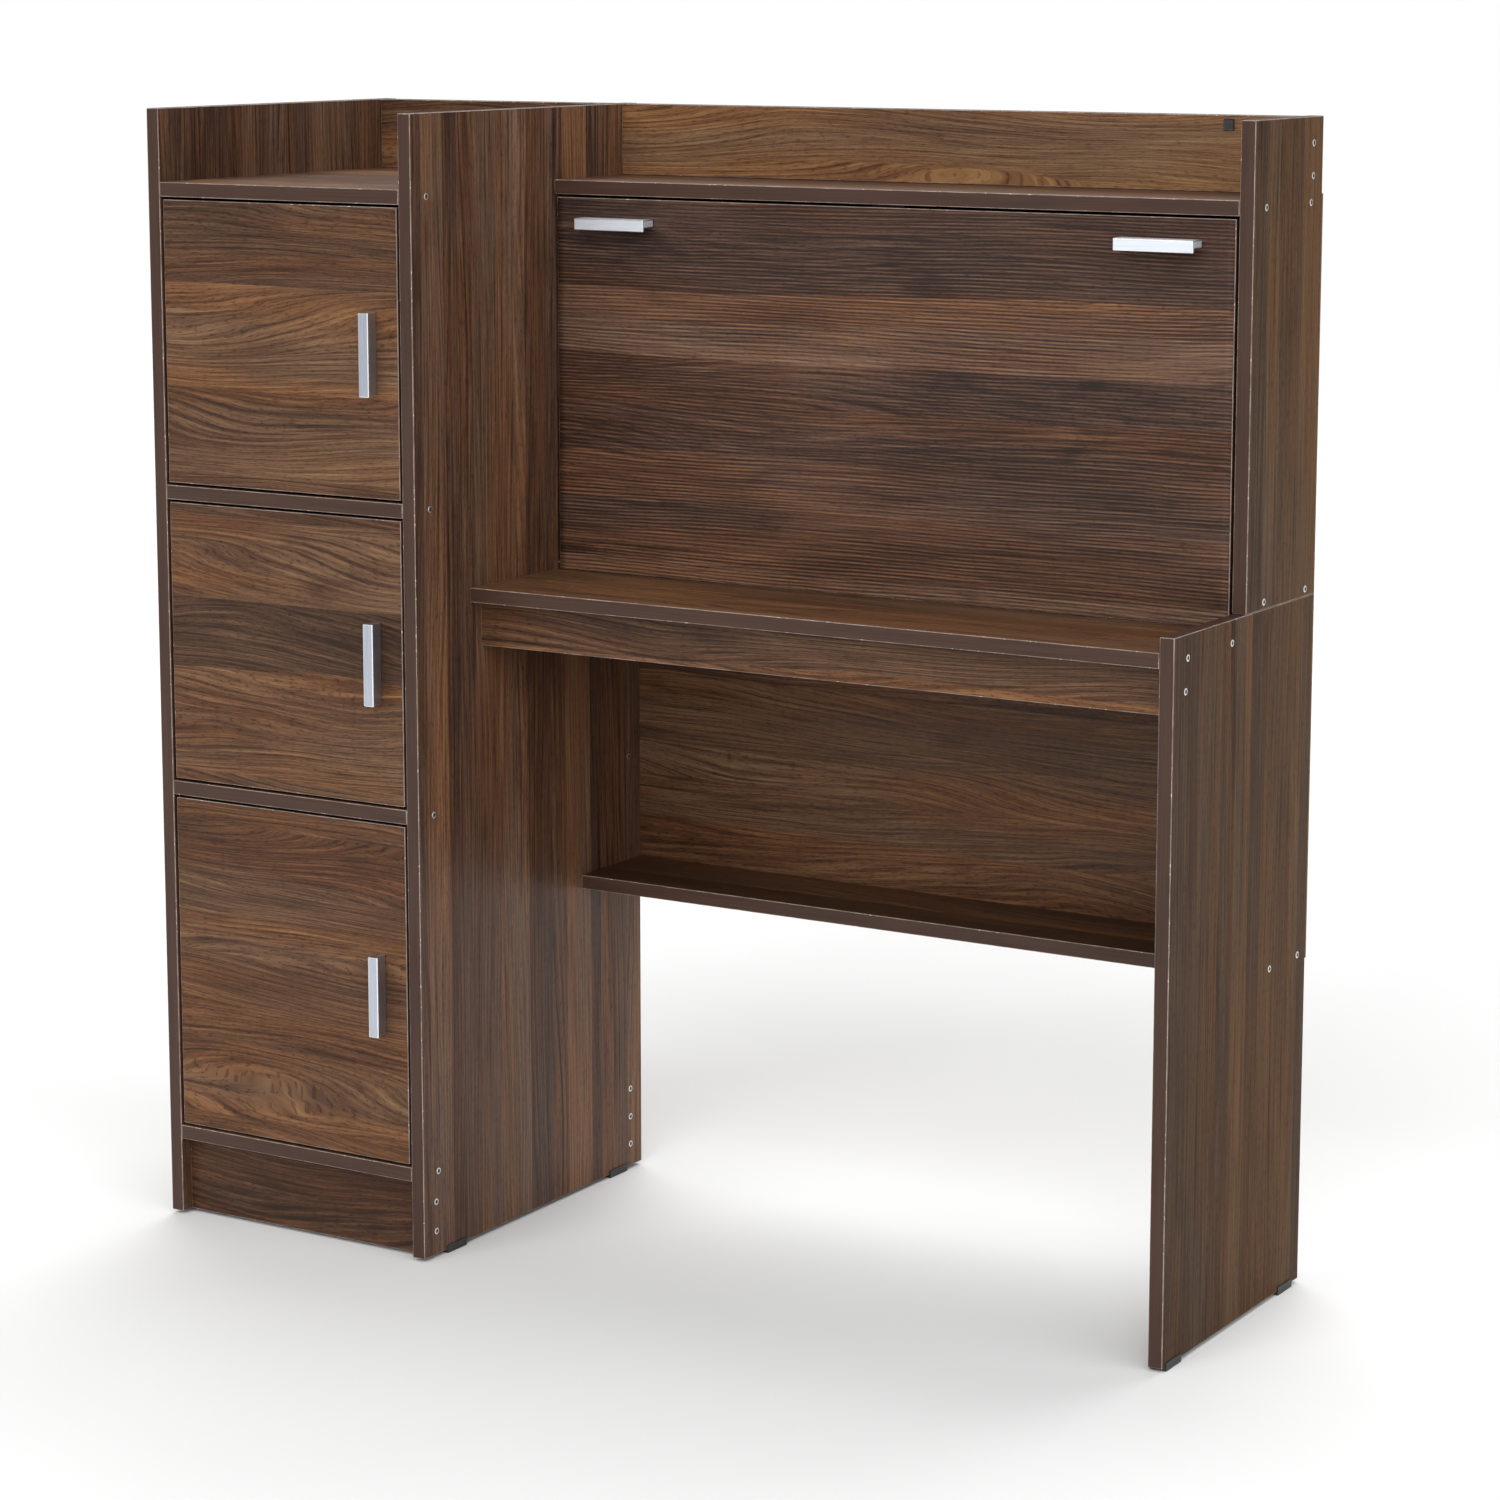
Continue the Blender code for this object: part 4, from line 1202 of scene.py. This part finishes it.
def pressed_sheet(low, high):
    """A closed thin sheet whose front is the ridged pattern."""
    rows = round((high.z - low.z) / RIDGE_PITCH) * ROWS_PER_RIDGE
    columns = round((high.x - low.x) / COLUMN_WIDTH)
    xs = [low.x + (high.x - low.x) * column / columns for column in range(columns + 1)]
    zs = [low.z + (high.z - low.z) * row / rows for row in range(rows + 1)]
    shape = bmesh.new()
    groove = shape.verts.layers.float.new("groove")
    run = shape.loops.layers.uv.new("run")
    grid = []
    for z in zs:
        line = []
        for x in xs:
            share = ridge(x, z)
            vert = shape.verts.new((x, low.y + RIDGE_DEPTH * share, z))
            vert[groove] = share
            line.append(vert)
        grid.append(line)
    for lower, upper in zip(grid, grid[1:]):
        for column in range(columns):
            corners = (lower[column], lower[column + 1], upper[column + 1], upper[column])
            shape.faces.new(corners).smooth = True
    border = grid[0] + [line[-1] for line in grid[1:]]
    border += grid[-1][-2::-1] + [line[0] for line in grid[-2:0:-1]]
    behind = [shape.verts.new((vert.co.x, high.y, vert.co.z)) for vert in border]
    shape.faces.new(behind[::-1])
    for index in range(len(border)):
        after = (index + 1) % len(border)
        shape.faces.new((border[after], border[index], behind[index], behind[after]))
    bmesh.ops.recalc_face_normals(shape, faces=shape.faces)
    for face in shape.faces:
        for loop in face.loops:
            loop[run].uv = (loop.vert.co.x + SHEET_CUT[0], loop.vert.co.z + SHEET_CUT[1])
    return shape


flap_low, flap_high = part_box("flap")
core_low = flap_low + Vector((0, SHEET_THICKNESS, 0))
shape = block(core_low, flap_high)
lay_paper(shape, 1, 0, 71)
leaf = new_piece("flap_leaf", shape, (figured_walnut, brown_band, scraped_arris_painted_highlight))
round_edges(leaf, ARRIS, finish_index=2)
settle(leaf)
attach(leaf, "flap")
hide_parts("flap")
for pin, end_x, inwards in (("flap_left_pin", flap_low.x, 1), ("flap_right_pin", flap_high.x, -1)):
    pin_low, pin_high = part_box(pin)
    pin_middle = (pin_low + pin_high) / 2
    mouth = (end_x, pin_middle.y, pin_middle.z)
    drill(leaf, PIN_HOLE_RADIUS, FLAP_PIN_HOLE_DEPTH, mouth, (inwards, 0, 0), 24)

inset = Vector((SHEET_INSET, 0, SHEET_INSET))
sheet_high = Vector((flap_high.x, core_low.y + SHEET_LAP, flap_high.z)) - inset
sheet_shape = pressed_sheet(flap_low + inset, sheet_high)
ridged_sheet = new_piece("flap_ridged_face", sheet_shape, (brushed_walnut,))
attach(ridged_sheet, "flap")

# ---- Flap fittings -------------------------------------------------------------------------
# Two steel pins, the same aluminium pulls laid flat near the top corners, their screws behind,
# and a strike that meets the catch under the hutch shelf. The pulls here wear a paler copy of the aluminium:
# painted reflection.

PIN_CHAMFER = 0.5 * MM

# Painted reflection: the flap's pulls take a paler, partly diffuse copy of the aluminium, for the brighter
# reflection they catch.
reflection_painted_aluminium = satin_aluminium(
    "satin_aluminium_painted_reflection", (0.64, 0.68, 0.75), (0.76, 0.80, 0.86), 0.5, 0.15, metallic=0.7
)

for side in ("left", "right"):
    pin_low, pin_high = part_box(f"flap_{side}_pin")
    middle = (pin_low + pin_high) / 2
    half = (pin_high.x - pin_low.x) / 2
    radius = (pin_high.z - pin_low.z) / 2
    shape = bmesh.new()
    rod = [(0, -half), (radius - PIN_CHAMFER, -half), (radius, PIN_CHAMFER - half)]
    rod += [(turned_radius, -up) for turned_radius, up in rod[::-1]]
    turned_ring(shape, facing(middle, (1, 0, 0)), rod, 24)
    bmesh.ops.recalc_face_normals(shape, faces=shape.faces)
    pin = new_piece(f"flap_{side}_pivot_pin", shape, (hinge_steel,))
    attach(pin, "flap")
    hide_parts(f"flap_{side}_pin")

    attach(make_handle(f"flap_{side}_pull", f"flap_{side}_handle", False, reflection_painted_aluminium), "flap")
    low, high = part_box(f"flap_{side}_handle")
    web_z = high.z - WEB_SHARE * (high.z - low.z) / 2
    middle_x = (low.x + high.x) / 2
    shape = bmesh.new()
    for offset in (-HANDLE_SCREW_SPREAD, HANDLE_SCREW_SPREAD):
        place = facing((middle_x + offset, flap_high.y, web_z), (0, 1, 0))
        cross_screw(shape, place, HANDLE_SCREW_RADIUS, HANDLE_SCREW_RISE)
    screws = new_piece(f"flap_{side}_pull_screws", shape, (zinc, socket_shade))
    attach(screws, "flap")

make_catch("flap_catch_case", "flap_catch", False, (0, 0, -1))
make_strike("flap_strike_plate", "flap_strike", "flap")

# ---- Studio --------------------------------------------------------------------------------
# A plain pale floor, a white backdrop in a dim even room, and three broad soft lights. The
# camera stands to the right of the front and looks slightly down.

FLOOR_HALF = 9.0
FLOOR_DROP = 0.2 * MM
ROOM_LIGHT = 0.3

floor_shape = bmesh.new()
bmesh.ops.create_grid(floor_shape, x_segments=2, y_segments=2, size=FLOOR_HALF)
bmesh.ops.translate(floor_shape, verts=floor_shape.verts, vec=(0, 0, -FLOOR_DROP))
floor_finish, floor_tree, floor_shader = finish_material("pale_floor", 0.9, specular=0.1)
floor_place = step(floor_tree, "TexCoord", {}).outputs["Object"]
floor_grain = grain_noise(floor_tree, floor_place, (1.5, 1.5, 1.0), 2.0)
floor_shade = ramp(floor_tree, floor_grain, [(0.3, 0.72), (0.7, 0.74)])
floor_tree.links.new(floor_shade, floor_shader.inputs["Base Color"])
floor = new_piece("pale_floor", floor_shape, (floor_finish,))

surround = bpy.data.worlds.new("white_surround")
surround.use_nodes = True
surround_tree = surround.node_tree
room = surround_tree.nodes["Background"]
room.inputs["Color"].default_value = (1.0, 1.0, 1.0, 1.0)
room.inputs["Strength"].default_value = ROOM_LIGHT
backdrop = step(surround_tree, "Background", {"Color": (1.0, 1.0, 1.0, 1.0), "Strength": 1.0})
seen = step(surround_tree, "LightPath", {}).outputs["Is Camera Ray"]
both = step(surround_tree, "MixShader", {0: seen, 1: room.outputs[0], 2: backdrop.outputs[0]})
surround_tree.links.new(both.outputs[0], surround_tree.nodes["World Output"].inputs["Surface"])
bpy.context.scene.world = surround
bpy.context.scene.view_settings.view_transform = "Standard"


def soft_light(name, towards, strength, spread):
    """A broad even light that comes from this direction."""
    lamp = bpy.data.lights.new(name, "SUN")
    lamp.energy = strength
    lamp.angle = math.radians(spread)
    made = bpy.data.objects.new(name, lamp)
    made.rotation_euler = Vector(towards).to_track_quat("Z", "Y").to_euler()
    bpy.context.scene.collection.objects.link(made)


soft_light("front_light", (0.05, -0.9, 0.55), 2.5, 60.0)
soft_light("right_light", (0.8, -0.3, 0.55), 1.6, 70.0)
soft_light("top_light", (-0.15, 0.5, 0.85), 2.1, 50.0)

camera = bpy.data.cameras.new("camera")
camera.sensor_width = 36.0
camera.lens = 96.0
camera.shift_y = -0.08
camera.clip_start = 0.05
camera.clip_end = 100.0
viewpoint = bpy.data.objects.new("camera", camera)
viewpoint.location = (2.2548, -3.6402, 1.3921)
viewpoint.rotation_euler = (math.radians(90.0 - 9.227), 0.0, math.radians(31.261))
bpy.context.scene.collection.objects.link(viewpoint)
bpy.context.scene.camera = viewpoint
